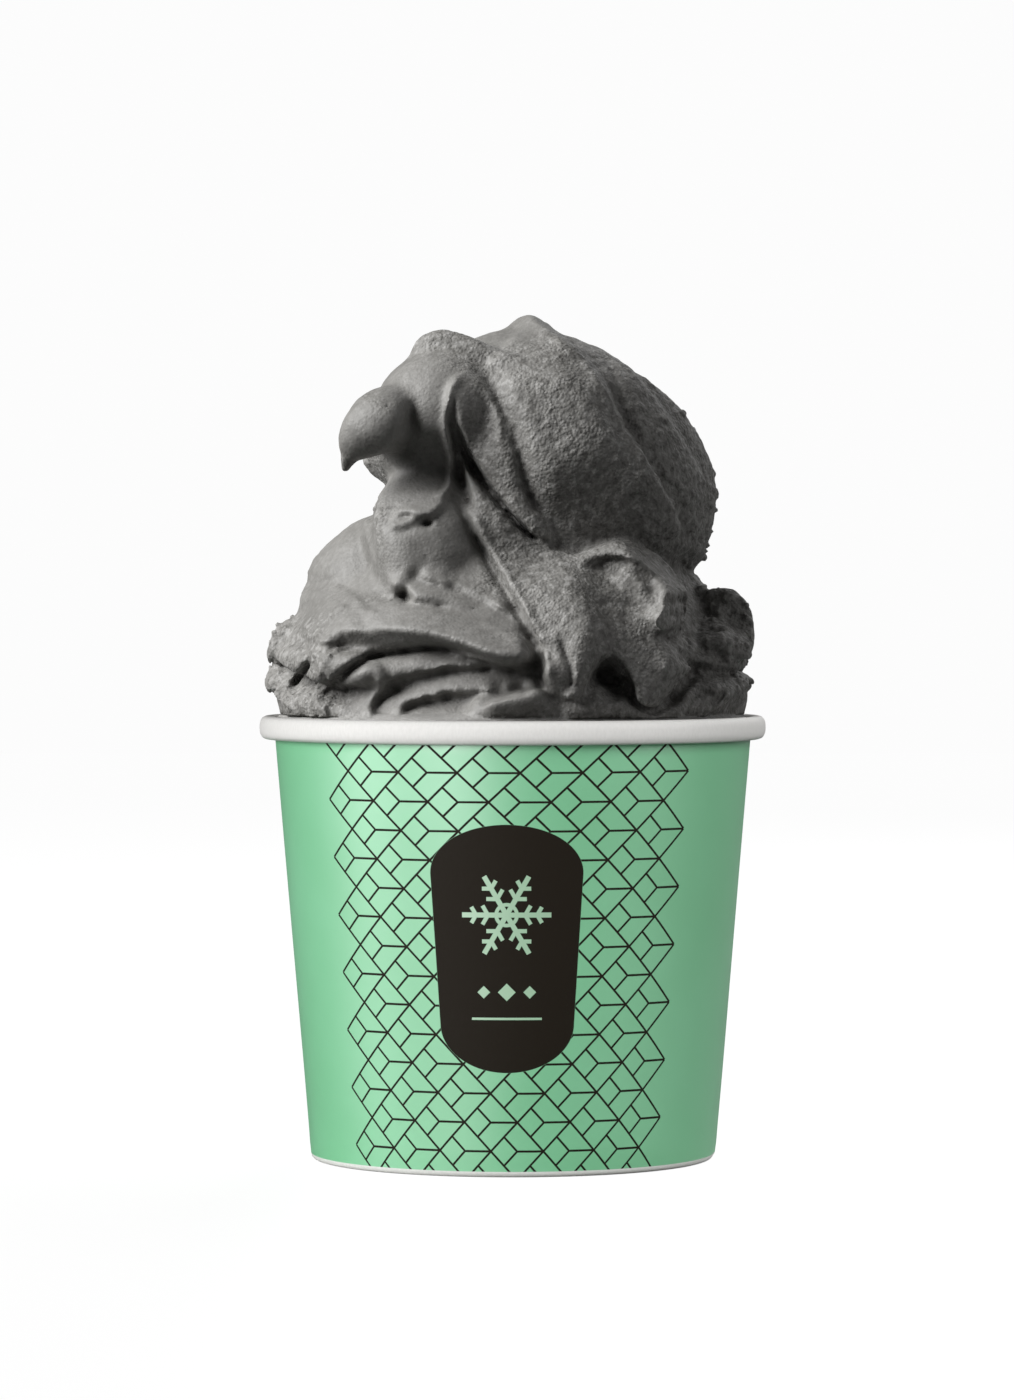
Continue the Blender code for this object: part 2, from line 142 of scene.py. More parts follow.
# The photograph's eye, mm: distance, height above the rim and place across; its lens; its tilt, degrees
EYE_DISTANCE = 1060.0
EYE_HEIGHT = 24.2
EYE_ACROSS = -1.03
EYE_LENS = 143.5
EYE_SENSOR = 36
EYE_TILT = 1.15

# Scooped masses: centre (x, y, height), radii (x, y, height), lean to the right in degrees
MASSES = {
    "pile": ((0, 3, 0), (45.6, 40.5, 40), 0),
    "foot": ((0, 0, -3), (46, 45, 9.5), 0),
    "left_dome": ((-24, 3, 18), (15.5, 19, 20.5), 0),
    "waist": ((3, 2, 36), (28.5, 26, 20), 0),
    "scoop": ((8.5, 3, 46.6), (31, 28, 24), 38),
    "crown": ((3, 3, 59), (11.5, 14, 15), 0),
    "shoulder": ((-12, -2, 53.5), (16.5, 20, 13.5), 0),
    "wall": ((-13, -9, 57), (13, 15, 12), 0),
    "middle": ((-13.5, -12.5, 31), (12, 12.5, 17), -24),
}

# Rolls through the air: path (x, y, height), half widths, facing direction
CURLS = {
    "nose": (
        [(-19, -12, 56.5), (-23.4, -19, 55.6), (-26.8, -21, 53.4), (-29.4, -20, 50.8), (-30.8, -19, 48.6)],
        [5.6, 6.3, 5.5, 3.7, 1.7], (0.5, -1, 0)),
    "drip": (
        [(-27.5, -22, 51.5), (-30, -20, 49.2), (-31.2, -19, 47), (-30.9, -18.8, 45)],
        [3.2, 1.9, 1.3, 1.1], (0, -1, 0)),
    "cap": (
        [(-18.5, -8, 65), (-16, -9, 69.2), (-12.5, -10, 69.9), (-8, -12, 68.6), (-3, -14, 66.8),
         (5, -16, 63)],
        [1.8, 2.9, 3.1, 2.8, 2.3, 1.6], (0, -1, 1)),
    "peak": ([(-1.6, 2, 71), (-0.7, 2, 72.4), (0.3, 2, 73)], [1.2, 1.0, 0.7], (0, -1, 0)),
}

# Places that the spatula smoothed: centre (x, y, height) and radii
SMOOTH_SPOTS = {
    "dome": ((-31, -5, 27), (13, 22, 11)),
    "shoulder": ((-17, -12, 58), (12, 18, 10)),
    "nose": ((-26, -22, 53), (8, 8, 6)),
    "crown": ((-2, 0, 72), (10, 14, 6)),
    "pocket": ((-18, -20, 45), (12, 12, 5)),
    "low_rolls": ((-15, -40, 8), (24, 16, 9)),
    "ribbon": ((-20, -34, 18), (24, 14, 6)),
    "middle": ((-15, -24, 30), (10, 12, 12)),
}

# Colours, linear
MINT = (0.235, 0.67, 0.365)
MINT_DEEP = (0.205, 0.63, 0.325)
INK = (0.010, 0.006, 0.002)
MOTIF = (0.40, 0.64, 0.43)
WHITE = (0.80, 0.79, 0.77)
WHITE_DEEP = (0.76, 0.75, 0.73)
GELATO = (0.200, 0.195, 0.185)
GELATO_DARK = (0.150, 0.146, 0.137)
# Frost grey of the icy specks, also used as a painted highlight that lightens the heap's bulges
GELATO_FROST_AND_HIGHLIGHT = (0.30, 0.295, 0.285)
GELATO_PIT = (0.09, 0.087, 0.08)
# Painted shade: the near-black grey that darkens the heap's hollows
GELATO_HOLLOW_SHADE = (0.045, 0.042, 0.036)

# Softboxes: degrees round from the front, degrees up, distance and size in metres, watts, what they light
SOFTBOXES = {
    "left_box": (-74, 10, 1.0, 0.5, 5.4, "cup"),
    "right_box": (66, 26, 1.0, 0.6, 5.8, "cup"),
    "front_box": (-30, 12, 1.1, 0.6, 8.2, "cup"),
    "heap_box": (-79, 36, 0.9, 0.6, 17.5, "heap"),
    "heap_fill": (68, 22, 1.2, 0.9, 2.4, "heap"),
    "back_box": (150, 35, 1.2, 0.9, 4.0, "all"),
}
AIM_HEIGHT = 0.08
ROOM_LIGHT = 0.05
BACKDROP = 0.975

# Floor: its rings, mm; its height, mm; its colour in the light and to the camera; its glow to the camera
FLOOR_RINGS = (POLE_RADIUS, 900, 2600)
FLOOR_HEIGHT = -0.02
FLOOR_LIT = (0.7, 0.7, 0.7)
FLOOR_SEEN = (0.22, 0.22, 0.22)
FLOOR_GLOW = (0.955, 0.955, 0.955)

# Folds that lie on the masses: the view they are laid from, in degrees round from the front; path
# (across, height, lift); half widths; half thicknesses
FOLDS = {
    "right_lump": (0, [(37.2, 23.8, 3), (38.9, 21.9, 5), (41.3, 18.1, 6), (42.3, 13.4, 6), (41, 11.3, 5)],
        [0.9, 1.7, 1.9, 1.5, 0.9], [3, 4, 4, 3.5, 3]),
    "right_foot": (0, [(29.6, 2.2, 1), (35.6, 3.7, 0.5), (41, 5.6, -1), (42.9, 2.9, -2)],
        [2.1, 2.8, 2.8, 2.1], [3, 4, 4, 4]),
    "front_foot": (0, [(9, 0.6, 3), (16.6, 2.5, 3.5), (26.1, 1.4, 3), (31.8, 0.6, 2)], [1.9, 2.5, 1.9, 1.5],
        [4, 4.5, 4.5, 3]),
    "crumbled_foot": (0, [(-8.1, 0.6, 1.5), (-2.4, 2.4, 2.5), (3.3, 3.5, 3), (9, 2.2, 2.5)],
        [1.5, 2.3, 2.5, 1.7], [3.5, 4.5, 5, 4]),
    "left_lobe": (0, [(-39.2, 18.5, -4), (-41.9, 13.4, -3), (-43.8, 9, -2), (-43, 4.4, -2)],
        [1.1, 2.1, 2.7, 2.1], [3, 4, 5, 4]),
    "left_foot": (0, [(-43.4, 4.8, 1), (-41.5, 1.4, 1), (-36.2, 0.6, 1.5), (-30.9, 0.3, 1)],
        [1.7, 2.1, 1.9, 1.5], [3.5, 4.5, 4.5, 3]),
    "right_belt": (90, [(-30, 9, -3), (-14, 12, -2.4), (4, 13, -2.4), (22, 10, -2.6), (36, 6, -3)],
        [3, 4, 4.5, 4, 3], [3, 3.5, 3.5, 3.5, 3]),
    "back_belt": (180, [(-36, 13, -3), (-18, 18, -1), (4, 19, 0), (24, 13, -1), (38, 6, -3)],
        [3, 5, 6, 5, 3], [3, 4, 4, 4, 3]),
    "back_foot": (180, [(-30, 2, 0), (-12, 4, 1), (10, 3, 1), (30, 6, 0)], [2.5, 3.5, 3.5, 2.5],
        [3, 4, 4, 3]),
    "left_belt": (270, [(-34, 6, -3), (-16, 8, -1.5), (4, 9, -1.5), (22, 9, -2), (34, 8, -3)],
        [3, 3.5, 4, 4, 3], [3, 3.5, 3.5, 3.5, 3]),
    "panel_rim": (0, [(-0.8, 73.6, -1.5), (3.3, 74.2, -1.2), (7.5, 71.3, -1), (12.1, 67.5, -1),
        (15.9, 62.6, -1), (18.5, 57.6, -1.4)], [1.1, 1.7, 2.3, 2.7, 2.3, 1.5],
        [1.4, 2, 2.4, 2.4, 2.2, 1.6]),
    "ruffle": (0, [(11.7, 29.5, 0.4), (15.9, 30.9, 2.1), (20.1, 31.6, 3.4), (24.6, 30.1, 4.4),
        (28.6, 26.7, 4.8), (30.7, 22.3, 4.8), (29.6, 18.1, 4), (26.9, 16.2, 2.6)],
        [0.9, 1.3, 1.7, 1.9, 1.9, 1.9, 1.7, 1.1], [1.4, 2, 2.3, 2.4, 2.4, 2.4, 2.2, 1.5]),
}

# Draped sheets: view; outline (across, height, lift); rounding of the edge; how deep the skin sinks
# beside it; how far out that reaches
SHEETS = {
    "middle": (0, [(-27.8, 42.4, 0), (-14.1, 43.2, 0.5), (-11.5, 40.9, 1.2), (-8.1, 35.2, 1.5),
        (-2.4, 25.7, 1.5), (4.1, 13.4, 1.2), (-8.1, 18.9, 1.5), (-13.8, 21.2, 2), (-18.9, 21.5, 3.6),
        (-21, 23.1, 4), (-23.6, 25, 3.8), (-27.1, 30.3, 2.6), (-28.4, 35.2, 2), (-29, 39.4, 1)], 2.4, 1.2,
        1.2),
    "long_ribbon": (0, [(-40.3, 21.2, 0), (-35.6, 23.8, 0.4), (-21.4, 21.2, 0.8), (-6.2, 18.5, 0.9),
        (5.6, 12.4, 2), (4.9, 10.5, 2.4), (-2.4, 9.8, 1.8), (-14.7, 12.4, 1.6), (-21.4, 12, 1.6),
        (-27.1, 10.7, 1.6), (-34.3, 5.2, 2), (-36.9, -1.6, 2.2), (-40.5, -1.6, 2), (-39.6, 4.8, 2.4),
        (-36.9, 9.8, 1.8), (-39.2, 17.2, 0.6)], 1.6, 2.6, 1.2),
    "flap": (0, [(-11.5, 56.5, 1), (-10.1, 47.4, 1.8), (-7.5, 37.1, 2.8), (-2.9, 28.2, 3.8),
        (2.4, 19.1, 4.8), (5.4, 11.5, 6.5), (5.4, 6.7, 7), (9, 3.5, 7), (12.8, 3.7, 7), (15.1, 7.9, 7),
        (18, 10.7, 7.2), (20.4, 7.5, 7.6), (24.2, 2.5, 8), (27.5, 2, 8), (31.8, 6.9, 7.6), (35.1, 9.2, 7),
        (31.8, 11.5, 6.4), (29.9, 20.8, 6), (32, 23.4, 5.6), (27.7, 29, 4.5), (19.9, 33.1, 3.5),
        (11.5, 31, 3), (3, 33.9, 2.6), (-3.1, 40.2, 2.2), (-8.8, 48.1, 1.6)], 2, 1.6, 1.2),
    "tongue": (0, [(11.9, 30.3, 0.2), (19.9, 32.8, 1), (27.1, 28, 1.6), (29.6, 25.7, 1.6),
        (31.3, 18.5, 2.4), (30.7, 15.8, 2.6), (28, 15.7, 2.6), (26.9, 18.5, 2.4), (20.4, 24.4, 1.8),
        (16.6, 27.6, 1.2)], 1.4, 0.9, 0.9),
    "blade": (0, [(-9.2, 66.4, 0.6), (-8.6, 68.1, 0.2), (-7.9, 66.4, 0.6), (-4.3, 61.2, 1.2),
        (-0.8, 55.5, 1.6), (0.9, 48.5, 2), (3, 41.1, 2.2), (6.8, 35.8, 2.2), (7.7, 32.9, 2),
        (5.4, 33.5, 2.8), (-0.5, 39, 3), (-6.2, 45.9, 2.6), (-9.8, 51.9, 2.2), (-11.7, 58, 1.6),
        (-10.7, 63, 1.1)], 1, 0.5, 1.2),
    "right_apron": (90, [(-34, 30, 0), (-16, 33, 0.2), (4, 32, 0.2), (22, 27, 0.2), (34, 18, 0.4),
        (38, 8, 0.6), (30, 3, 1.2), (16, 5.5, 1.5), (2, 9.5, 1.6), (-12, 8, 1.6), (-24, 10, 1.5),
        (-32, 17, 1)], 2, 3.5, 2.4),
    "back_wrap": (180, [(-36, 24, 0.6), (-26, 34, 0), (-8, 38, 0.4), (14, 36, 0.5), (30, 28, 0.6),
        (40, 16, 0.8), (36, 8, 2), (24, 9, 3.5), (8, 13.5, 4.5), (-8, 14, 4.5), (-22, 10, 3.6),
        (-34, 12, 2)], 2.5, 2.8, 1.8),
    "back_tongue": (180, [(6, 60, 0.6), (15, 55, 1.2), (23, 45, 1.8), (25, 36, 3), (20, 30, 3.6),
        (12, 33, 3.2), (7, 42, 2.4), (3, 51, 1.4)], 1.6, 1.2, 1),
    "left_apron": (270, [(-38, 14, 0.4), (-34, 21, 0), (-16, 24, 0.2), (6, 24, 0.3), (26, 20, 0.3),
        (36, 12, 0.6), (32, 6, 1.2), (20, 7, 1.6), (4, 10, 1.6), (-12, 9, 1.6), (-26, 5, 1.4)], 2, 3.5,
        2.2),
}

# Strokes on the skin: view; kind; path (across, height); size; reach; shares of the path over which it
# fades in and out; and for a step or a crest the depth of the groove and the reach on the other side
STROKES = {
    "panel_edge": (0, "step", [(3, 76.6), (7.1, 73.2), (11.3, 70.2), (15.1, 65.6), (18.2, 60.7),
        (20.8, 55.7), (23.5, 51.6), (26.1, 47.4), (28.8, 42.8), (31.1, 37.9), (33.4, 31.4)], -4.2, 10,
        (0.02, 0.1), 1, 1.4),
    "outer_panel_edge": (0, "step", [(16.6, 69), (22, 64.1), (26.5, 59.5), (30.3, 54.2), (33.4, 49.3),
        (36, 44.7), (37.9, 40.9)], -2.4, 6, (0.1, 0.08), 0.9, 1),
    "inner_roll": (0, "step", [(-26.9, -0.9), (-26.3, 2.5), (-24.4, 5.6), (-21.4, 7.3), (-16.6, 8.2),
        (-10.9, 9), (-5.2, 9.2), (-0.1, 8.8), (4.5, 7.5)], 2.6, 4, (0.05, 0.12), 2.4, 0.8),
    "low_roll": (0, "step", [(-21.7, -0.9), (-20.2, 1.8), (-15.7, 3.3), (-10, 4.3), (-4.3, 4.8),
        (1.4, 5.2)], 2.2, 3, (0.1, 0.1), 2.2, 0.8),
    "crumb_edge": (0, "step", [(-6.2, 1.8), (-2.4, 3.1), (1.4, 4.1), (4.1, 5), (6.8, 4.1)], -2.2, 2.6,
        (0.15, 0.1), 1.6, 1.2),
    "slot": (0, "ridge", [(-38.1, 10.5), (-39.2, 8.8), (-40.9, 6.5), (-42.6, 4.1)], -5.5, 0.8, (0.3, 0.3)),
    "dome_fold": (0, "step", [(-40.7, 20.8), (-38.4, 23.4), (-35.4, 24.8), (-31.8, 23.8), (-29.3, 21.9),
        (-26.7, 20), (-22.9, 20.4)], -1.4, 2.2, (0.2, 0.2), 0.8, 0.8),
    "ledge": (0, "step", [(-11.5, 42.4), (-13.8, 40.2), (-16, 38.3), (-18.7, 36.7), (-21.7, 35.2),
        (-23.3, 36.4), (-23.3, 38.4)], -0.9, 2.6, (0.15, 0.15), 0.9, 0.8),
    "mouth": (0, "ridge", [(-21.7, 37.7), (-20.4, 37.9), (-18.7, 37.7)], -1.6, 0.5, (0.25, 0.25)),
    "ledge_pit": (0, "ridge", [(-17.4, 36.9), (-16.2, 36.4), (-14.9, 36.7)], -2.6, 0.6, (0.25, 0.25)),
    "pocket": (0, "ridge", [(-21.4, 23.8), (-20.2, 22.5), (-19.5, 21.5)], -4, 0.8, (0.2, 0.1)),
    "tuck": (0, "step", [(-18.7, 26.3), (-12.8, 25), (-7.1, 22.9), (-1.4, 19.8), (3.3, 15.5)], 1.8, 2.4,
        (0.1, 0.15), 1.8, 0.7),
    "sliver_gap": (0, "ridge", [(-12.4, 59.2), (-11.9, 55.4), (-10.9, 52.1), (-10.3, 49.3), (-10, 46.4),
        (-9, 42.8), (-7.7, 39.4), (-6.3, 36.7)], -2.6, 0.55, (0.15, 0.25)),
    "black_gap": (0, "ridge", [(-10.9, 56.1), (-9.8, 52.1), (-8.2, 48.3), (-5.8, 44.7), (-3.1, 41.3),
        (-0.5, 38.3), (2.2, 35.2), (4.9, 33.1)], -5, 0.62, (0.25, 0.04)),
    "wall_lip": (0, "ridge", [(-9.2, 66), (-10.7, 63.7), (-11.9, 61.1), (-12.4, 58), (-12.6, 54.6),
        (-12.2, 51.4), (-11.7, 48.9), (-11.9, 46.6), (-11.9, 44), (-13.2, 42.2), (-15.7, 42.2)], 1.8, 0.75,
        (0.15, 0.15)),
    "blade_rib": (0, "ridge", [(-6, 63), (-3.9, 59.7), (-2.9, 56.5), (-2.4, 52.3), (-2, 48.1)], 0.9, 0.9,
        (0.2, 0.4)),
    "flap_lip": (0, "ridge", [(-9.2, 41.3), (-7.3, 37.1), (-5.2, 32.9), (-2.7, 28.6), (-0.1, 24),
        (2.6, 19.6), (4.9, 14.7), (6.4, 9.8), (8.3, 6.3)], 2.2, 1, (0.1, 0.12)),
    "flap_valley": (0, "ridge", [(16.6, 22.7), (17.8, 20), (18.5, 17), (18.7, 13.9), (18.7, 11.3)], -0.9,
        1.8, (0.3, 0.05)),
    "tip_valley": (0, "ridge", [(8.3, 15.1), (10, 12), (11.1, 9), (11.1, 5.2)], -2, 0.8, (0.3, 0.05)),
    "right_hollow": (0, "ridge", [(37.2, 13.2), (37.9, 11.3), (39.1, 9.8)], -4.5, 1.4, (0.2, 0.2)),
    "ribbon_crest": (0, "crest", [(-35, 12.4), (-34.1, 15.1), (-30.9, 16.2), (-24.2, 16.4), (-18.5, 16),
        (-13.8, 15.3), (-9, 13.9), (-4.3, 12.2), (1.4, 11.5), (5.2, 11.5)], 6.4, 10, (0.08, 0.12), 0, 3.2),
    "ribbon_gap": (0, "ridge", [(-36.6, 2.5), (-34.7, 5.2), (-31.8, 8.1), (-27.1, 10.9), (-21.4, 12.2),
        (-15.7, 12.8), (-10, 12.2), (-4.3, 10.3), (-0.8, 9)], -3.2, 0.8, (0.1, 0.2)),
    "low_gap": (0, "ridge", [(-5, 4.8), (-0.5, 5), (3.7, 5.2)], -4, 1.3, (0.3, 0.2)),
    "lobe_crease": (0, "step", [(-45.3, 10.9), (-43.4, 12.8), (-40.7, 14.1), (-36.2, 14.5)], 0.9, 2.2,
        (0.15, 0.3), 0.7, 0.6),
    "flap_crest": (0, "crest", [(11.3, 4.1), (12.7, 10.1), (13.6, 15.8), (12.8, 21.2), (10.2, 27.2),
        (4.9, 33.3)], 3.4, 9.5, (0.1, 0.25), 0, 8.5),
    "right_flap_crest": (0, "crest", [(28.8, 2.9), (29.6, 6.7), (28.8, 11.5), (26.9, 16.2), (24.2, 20.8)],
        2.4, 6, (0.15, 0.2), 0, 4),
    "pocket_hollow": (0, "ridge", [(-16, 54.2), (-15.3, 50.4), (-16.8, 46.2)], -1, 2.8, (0.35, 0.3)),
    "nose_shade": (0, "ridge", [(-21, 60.3), (-19.5, 57.6), (-19.1, 53.8), (-19.8, 50.8), (-21.7, 48.5)],
        -2.4, 1.4, (0.3, 0.25)),
    "middle_hollow": (0, "ridge", [(-13.8, 28), (-10.3, 25.7), (-6.9, 23.4), (-2.4, 20.4)], -1.6, 3.2,
        (0.35, 0.25)),
    "right_gap": (0, "ridge", [(36, 25), (36.6, 21.5), (37, 17.7)], -4, 1.2, (0.15, 0.2)),
    "blade_gap": (0, "ridge", [(-5.4, 62.2), (-3.5, 59.5), (-1.4, 55.9), (0.1, 52.1), (1.3, 48.1),
        (2.2, 44), (4.1, 39.8), (6.4, 35.2)], -0.7, 1.2, (0.2, 0.2)),
    "middle_crest": (0, "crest", [(-21.7, 22.7), (-23.6, 24.6), (-25.3, 26.9), (-26.7, 30.3), (-27.6, 34.3),
        (-27.4, 38.1), (-25.5, 40.3), (-22.9, 41.3)], 3.2, 1.6, (0.12, 0.3), 0, 9),
    "leg_crest": (0, "ridge", [(-38.1, -0.1), (-37.9, 2.9), (-36.9, 6.3), (-35.6, 9.8), (-35, 13.4),
        (-33.9, 15.8)], 1.8, 1.4, (0.15, 0.2)),
    "lobe_dent": (0, "ridge", [(-41.5, 6.7), (-42.6, 4.8), (-43.4, 2.5)], -4, 1.5, (0.3, 0.25)),
    "ledge_lip": (0, "ridge", [(-22.9, 37.1), (-21.4, 38.4), (-18.7, 38.8), (-16, 38.3), (-13.8, 39.8),
        (-11.9, 41.3)], 0.9, 0.8, (0.2, 0.2)),
    "arch_hole": (0, "ridge", [(17, 9), (18.2, 6), (20.8, 2.9)], -5, 1.6, (0.15, 0.2)),
    "under_flap": (0, "ridge", [(21.2, 5.2), (24.2, 1.8), (27.3, 0.8), (30.7, 3.3), (33.7, 6.7), (36, 9)],
        -4, 0.8, (0.1, 0.15)),
    "blade_left": (0, "ridge", [(-11.3, 60.7), (-11.3, 58.4), (-10.7, 55.4), (-9.8, 52.1), (-8.4, 49.1),
        (-6.2, 45.9)], -1.2, 0.5, (0.25, 0.15)),
    "ruffle_vein": (0, "ridge", [(16.6, 29.3), (20.1, 28.4), (23.5, 26.1), (26.1, 23.1)], 1.1, 0.8,
        (0.2, 0.2)),
    "scoop_turn": (0, "crest", [(-0.8, 69.4), (0.7, 61.8), (3.3, 54.2), (7.5, 45.7), (12.8, 37.1)], 2.6, 18,
        (0.3, 0.3), 0, 6),
    "panel_dark": (0, "ridge", [(9.4, 70.6), (13.6, 66.4), (17.4, 60.7), (21.2, 53.1), (25.8, 44.7)], -2,
        2.2, (0.2, 0.3)),
    "flap_left_gap": (0, "ridge", [(-7.7, 35.6), (-5.8, 31.6), (-3.5, 27.2), (-0.8, 22.7), (1.4, 18.5),
        (3.3, 13.9)], -1.6, 0.8, (0.2, 0.2)),
    "nose_light": (0, "crest", [(-19.1, 60.3), (-21.7, 56.1), (-22.9, 52.3), (-25.5, 49.3)], 1.6, 1.5,
        (0.2, 0.2), 0, 7),
    "ruffle_under": (0, "ridge", [(31.8, 23.4), (32.6, 20), (31.5, 15.5), (28.8, 13.9)], -2.6, 1,
        (0.2, 0.2)),
    "scoop_end": (0, "ridge", [(32.6, 31.8), (33.7, 25.7), (34.3, 19.6), (34.5, 14.3), (35.6, 9.8)], -7,
        2.3, (0.15, 0.15)),
    "lump_fold": (0, "ridge", [(38.3, 20.8), (39.8, 17.7), (40.6, 13.9)], 1.4, 1.1, (0.2, 0.2)),
    "foot_cracks": (0, "ridge", [(33.7, 2.9), (36.4, 4.4), (39.1, 2.9), (41.3, 4.8)], -2.2, 0.8,
        (0.2, 0.2)),
    "ruffle_crest": (0, "crest", [(27.1, 15.8), (29, 20.8), (27.5, 25.3), (22.9, 29), (17, 30.3)], 4.8, 8.5,
        (0.1, 0.25), 0, 2.2),
    "right_roll": (90, "step", [(-28, -1), (-20, 3.5), (-6, 5.5), (10, 3.5), (22, -1)], 2.6, 3, (0.1, 0.1),
        1.6, 1),
    "right_panel": (90, "step", [(-10, 72), (-2, 60), (5, 48), (8, 36), (7, 26)], -2, 10, (0.05, 0.1), 1.2,
        1.2),
    "right_panel_back": (90, "step", [(12, 70), (19, 58), (23, 46), (23, 34)], -1.4, 8, (0.1, 0.1), 1, 1),
    "back_roll": (180, "step", [(-34, 1), (-20, 5.5), (-4, 7), (14, 5.5), (30, 0)], 3, 3.2, (0.1, 0.1), 1.8,
        1),
    "back_panel": (180, "step", [(-2, 76), (-10, 66), (-15, 54), (-17, 42), (-15, 32)], 2.2, 10,
        (0.05, 0.1), 1.4, 1.2),
    "back_panel_low": (180, "step", [(-18, 66), (-25, 56), (-29, 45), (-28, 34)], 1.6, 8, (0.1, 0.1), 1, 1),
    "back_crease": (180, "ridge", [(14, 66), (9, 56), (8, 45), (12, 36)], -2.2, 0.9, (0.2, 0.1)),
    "left_roll": (270, "step", [(-34, 0), (-20, 3.5), (-4, 4.6), (12, 3), (24, -1)], 2.6, 3, (0.1, 0.1),
        1.6, 1),
    "left_dome_fold": (270, "step", [(-18, 34), (-8, 30), (0, 24), (4, 18)], 1.4, 4, (0.1, 0.15), 0.8, 0.8),
    "left_shoulder_fold": (270, "step", [(-14, 66), (-6, 60), (-1, 52), (0, 44)], -1.6, 6, (0.1, 0.1), 1,
        1),
}


def unit(vectors):
    """Each vector divided by its length."""
    return vectors / np.maximum(np.linalg.norm(vectors, axis=-1, keepdims=True), 1e-9)


def cubic(before, start, end, after, share):
    """The smooth curve that passes start and end, heading at each along the line of its two neighbours."""
    return start + 0.5 * share * (end - before + share * (
        2 * before - 5 * start + 4 * end - after + share * (3 * start - before - 3 * end + after)))


def through(values, count):
    """A smooth curve through the values, read at count evenly spaced places."""
    v = np.asarray(values, float)
    v = v[:, None] if v.ndim == 1 else v
    t = np.linspace(0, len(v) - 1, count)
    i = np.clip(t.astype(int), 0, len(v) - 2)
    p = np.concatenate([2 * v[:1] - v[1:2], v, 2 * v[-1:] - v[-2:-1]])
    return cubic(p[i], p[i + 1], p[i + 2], p[i + 3], (t - i)[:, None])


def around_through(values, each=6):
    """A smooth closed curve through the values, each stretch cut in that many."""
    v = np.asarray(values, float)
    t = np.arange(len(v) * each) / each
    i = t.astype(int)
    a, b, c, d = (v[(i + k) % len(v)] for k in (-1, 0, 1, 2))
    return cubic(a, b, c, d, (t - i)[:, None])


def ease(t):
    """0 below 0, 1 above 1, with a level start and end between."""
    t = np.clip(t, 0, 1)
    return t * t * (3 - 2 * t)


def front_depth(x, h):
    """y of the foremost ellipsoid at each x and height."""
    best = np.full(np.shape(x), np.inf)
    for centre, radii, lean in MASSES.values():
        a = math.radians(lean)
        dx = x - centre[0]
        dh = h - centre[2]
        long = (dx * math.cos(a) - dh * math.sin(a)) / radii[0]
        short = (dx * math.sin(a) + dh * math.cos(a)) / radii[2]
        left_over = 1 - long ** 2 - short ** 2
        y = centre[1] - radii[1] * np.sqrt(np.clip(left_over, 0, None))
        best = np.where(left_over > 0, np.minimum(best, y), best)
    return np.where(np.isinf(best), 0.0, best)


def seen(points, turn):
    """Across, height and depth of points for an eye walked round by turn degrees: across and height shrink
    with the distance."""
    a = math.radians(turn)
    x = points[:, 0] * math.cos(a) + points[:, 1] * math.sin(a)
    y = points[:, 1] * math.cos(a) - points[:, 0] * math.sin(a)
    near = EYE_DISTANCE / (EYE_DISTANCE + y)
    return x * near, (points[:, 2] - EYE_HEIGHT) * near + EYE_HEIGHT, y


def lay(path, turn):
    """A path of (across, height, lift) laid on the masses, or round the sides on a dome of their size."""
    across, height, lift = np.asarray(path, float).T
    depth = np.zeros(len(across))
    for _ in range(4):
        far = (EYE_DISTANCE + depth) / EYE_DISTANCE
        x, h = across * far, (height - EYE_HEIGHT) * far + EYE_HEIGHT
        if turn == 0:
            depth = front_depth(x, h)
        else:
            level = 1 - (h / SIDE_DOME_HEIGHT) ** 2
            depth = -np.sqrt(np.clip(SIDE_DOME_RADIUS ** 2 * level - x ** 2, 0, None))
    a = math.radians(turn)
    y = depth - lift
    return np.stack([x * math.cos(a) - y * math.sin(a), x * math.sin(a) + y * math.cos(a), h], -1)


def ellipsoid(centre, radii, lean, rows=32, columns=48):
    """Radii times the unit sphere's points, leant about the y axis and moved to the centre."""
    up = np.linspace(0, math.pi, rows)[:, None]
    turn = np.linspace(0, 2 * math.pi, columns, endpoint=False)[None, :]
    x = radii[0] * np.sin(up) * np.cos(turn)
    y = radii[1] * np.sin(up) * np.sin(turn)
    z = radii[2] * np.cos(up) * np.ones_like(turn)
    a = math.radians(lean)
    return np.stack([x * math.cos(a) + z * math.sin(a), y, z * math.cos(a) - x * math.sin(a)], -1) + centre


def roll(path, wide, thick, face=None, along=44, around=26, cap=0.12):
    """An oval section carried along a smooth path: centre + across wide cos a + out thick sin a,
    both shrinking as a quarter circle over the cap share at each end."""
    c = through(path, along)
    w = through(wide, along)
    t = through(thick, along)
    u = np.linspace(0, 1, along)[:, None]
    start = np.clip(1 - u / cap, 0, 1)
    end = np.clip(1 - (1 - u) / cap, 0, 1)
    taper = np.sqrt(1 - start ** 2) * np.sqrt(1 - end ** 2)
    ahead = unit(np.gradient(c, axis=0))
    out = c - HEART if face is None else np.broadcast_to(np.asarray(face, float), c.shape)
    out = unit(out - (out * ahead).sum(1, keepdims=True) * ahead)
    across = np.cross(ahead, out)
    a = np.linspace(0, 2 * math.pi, around, endpoint=False)[None, :, None]
    grid = c[:, None] + across[:, None] * (w * taper)[:, None] * np.cos(a)
    return grid + out[:, None] * (t * taper)[:, None] * np.sin(a)


def ring_faces(rows, columns, start=0, closed=False):
    """Four-sided faces of a grid whose columns run all the way round; closed also joins the last row to
    the first."""
    r = np.arange(rows if closed else rows - 1)[:, None]
    c = np.arange(columns)[None, :]
    n = (c + 1) % columns
    below = start + r * columns
    above = start + (r + 1) % rows * columns
    return np.stack([below + c, below + n, above + n, above + c], 2).reshape(-1, 4)


def mesh_from(name, points, faces):
    """A mesh of these points and faces."""
    mesh = bpy.data.meshes.new(name)
    mesh.from_pydata(points.tolist(), [], faces.tolist())
    mesh.update()
    return mesh


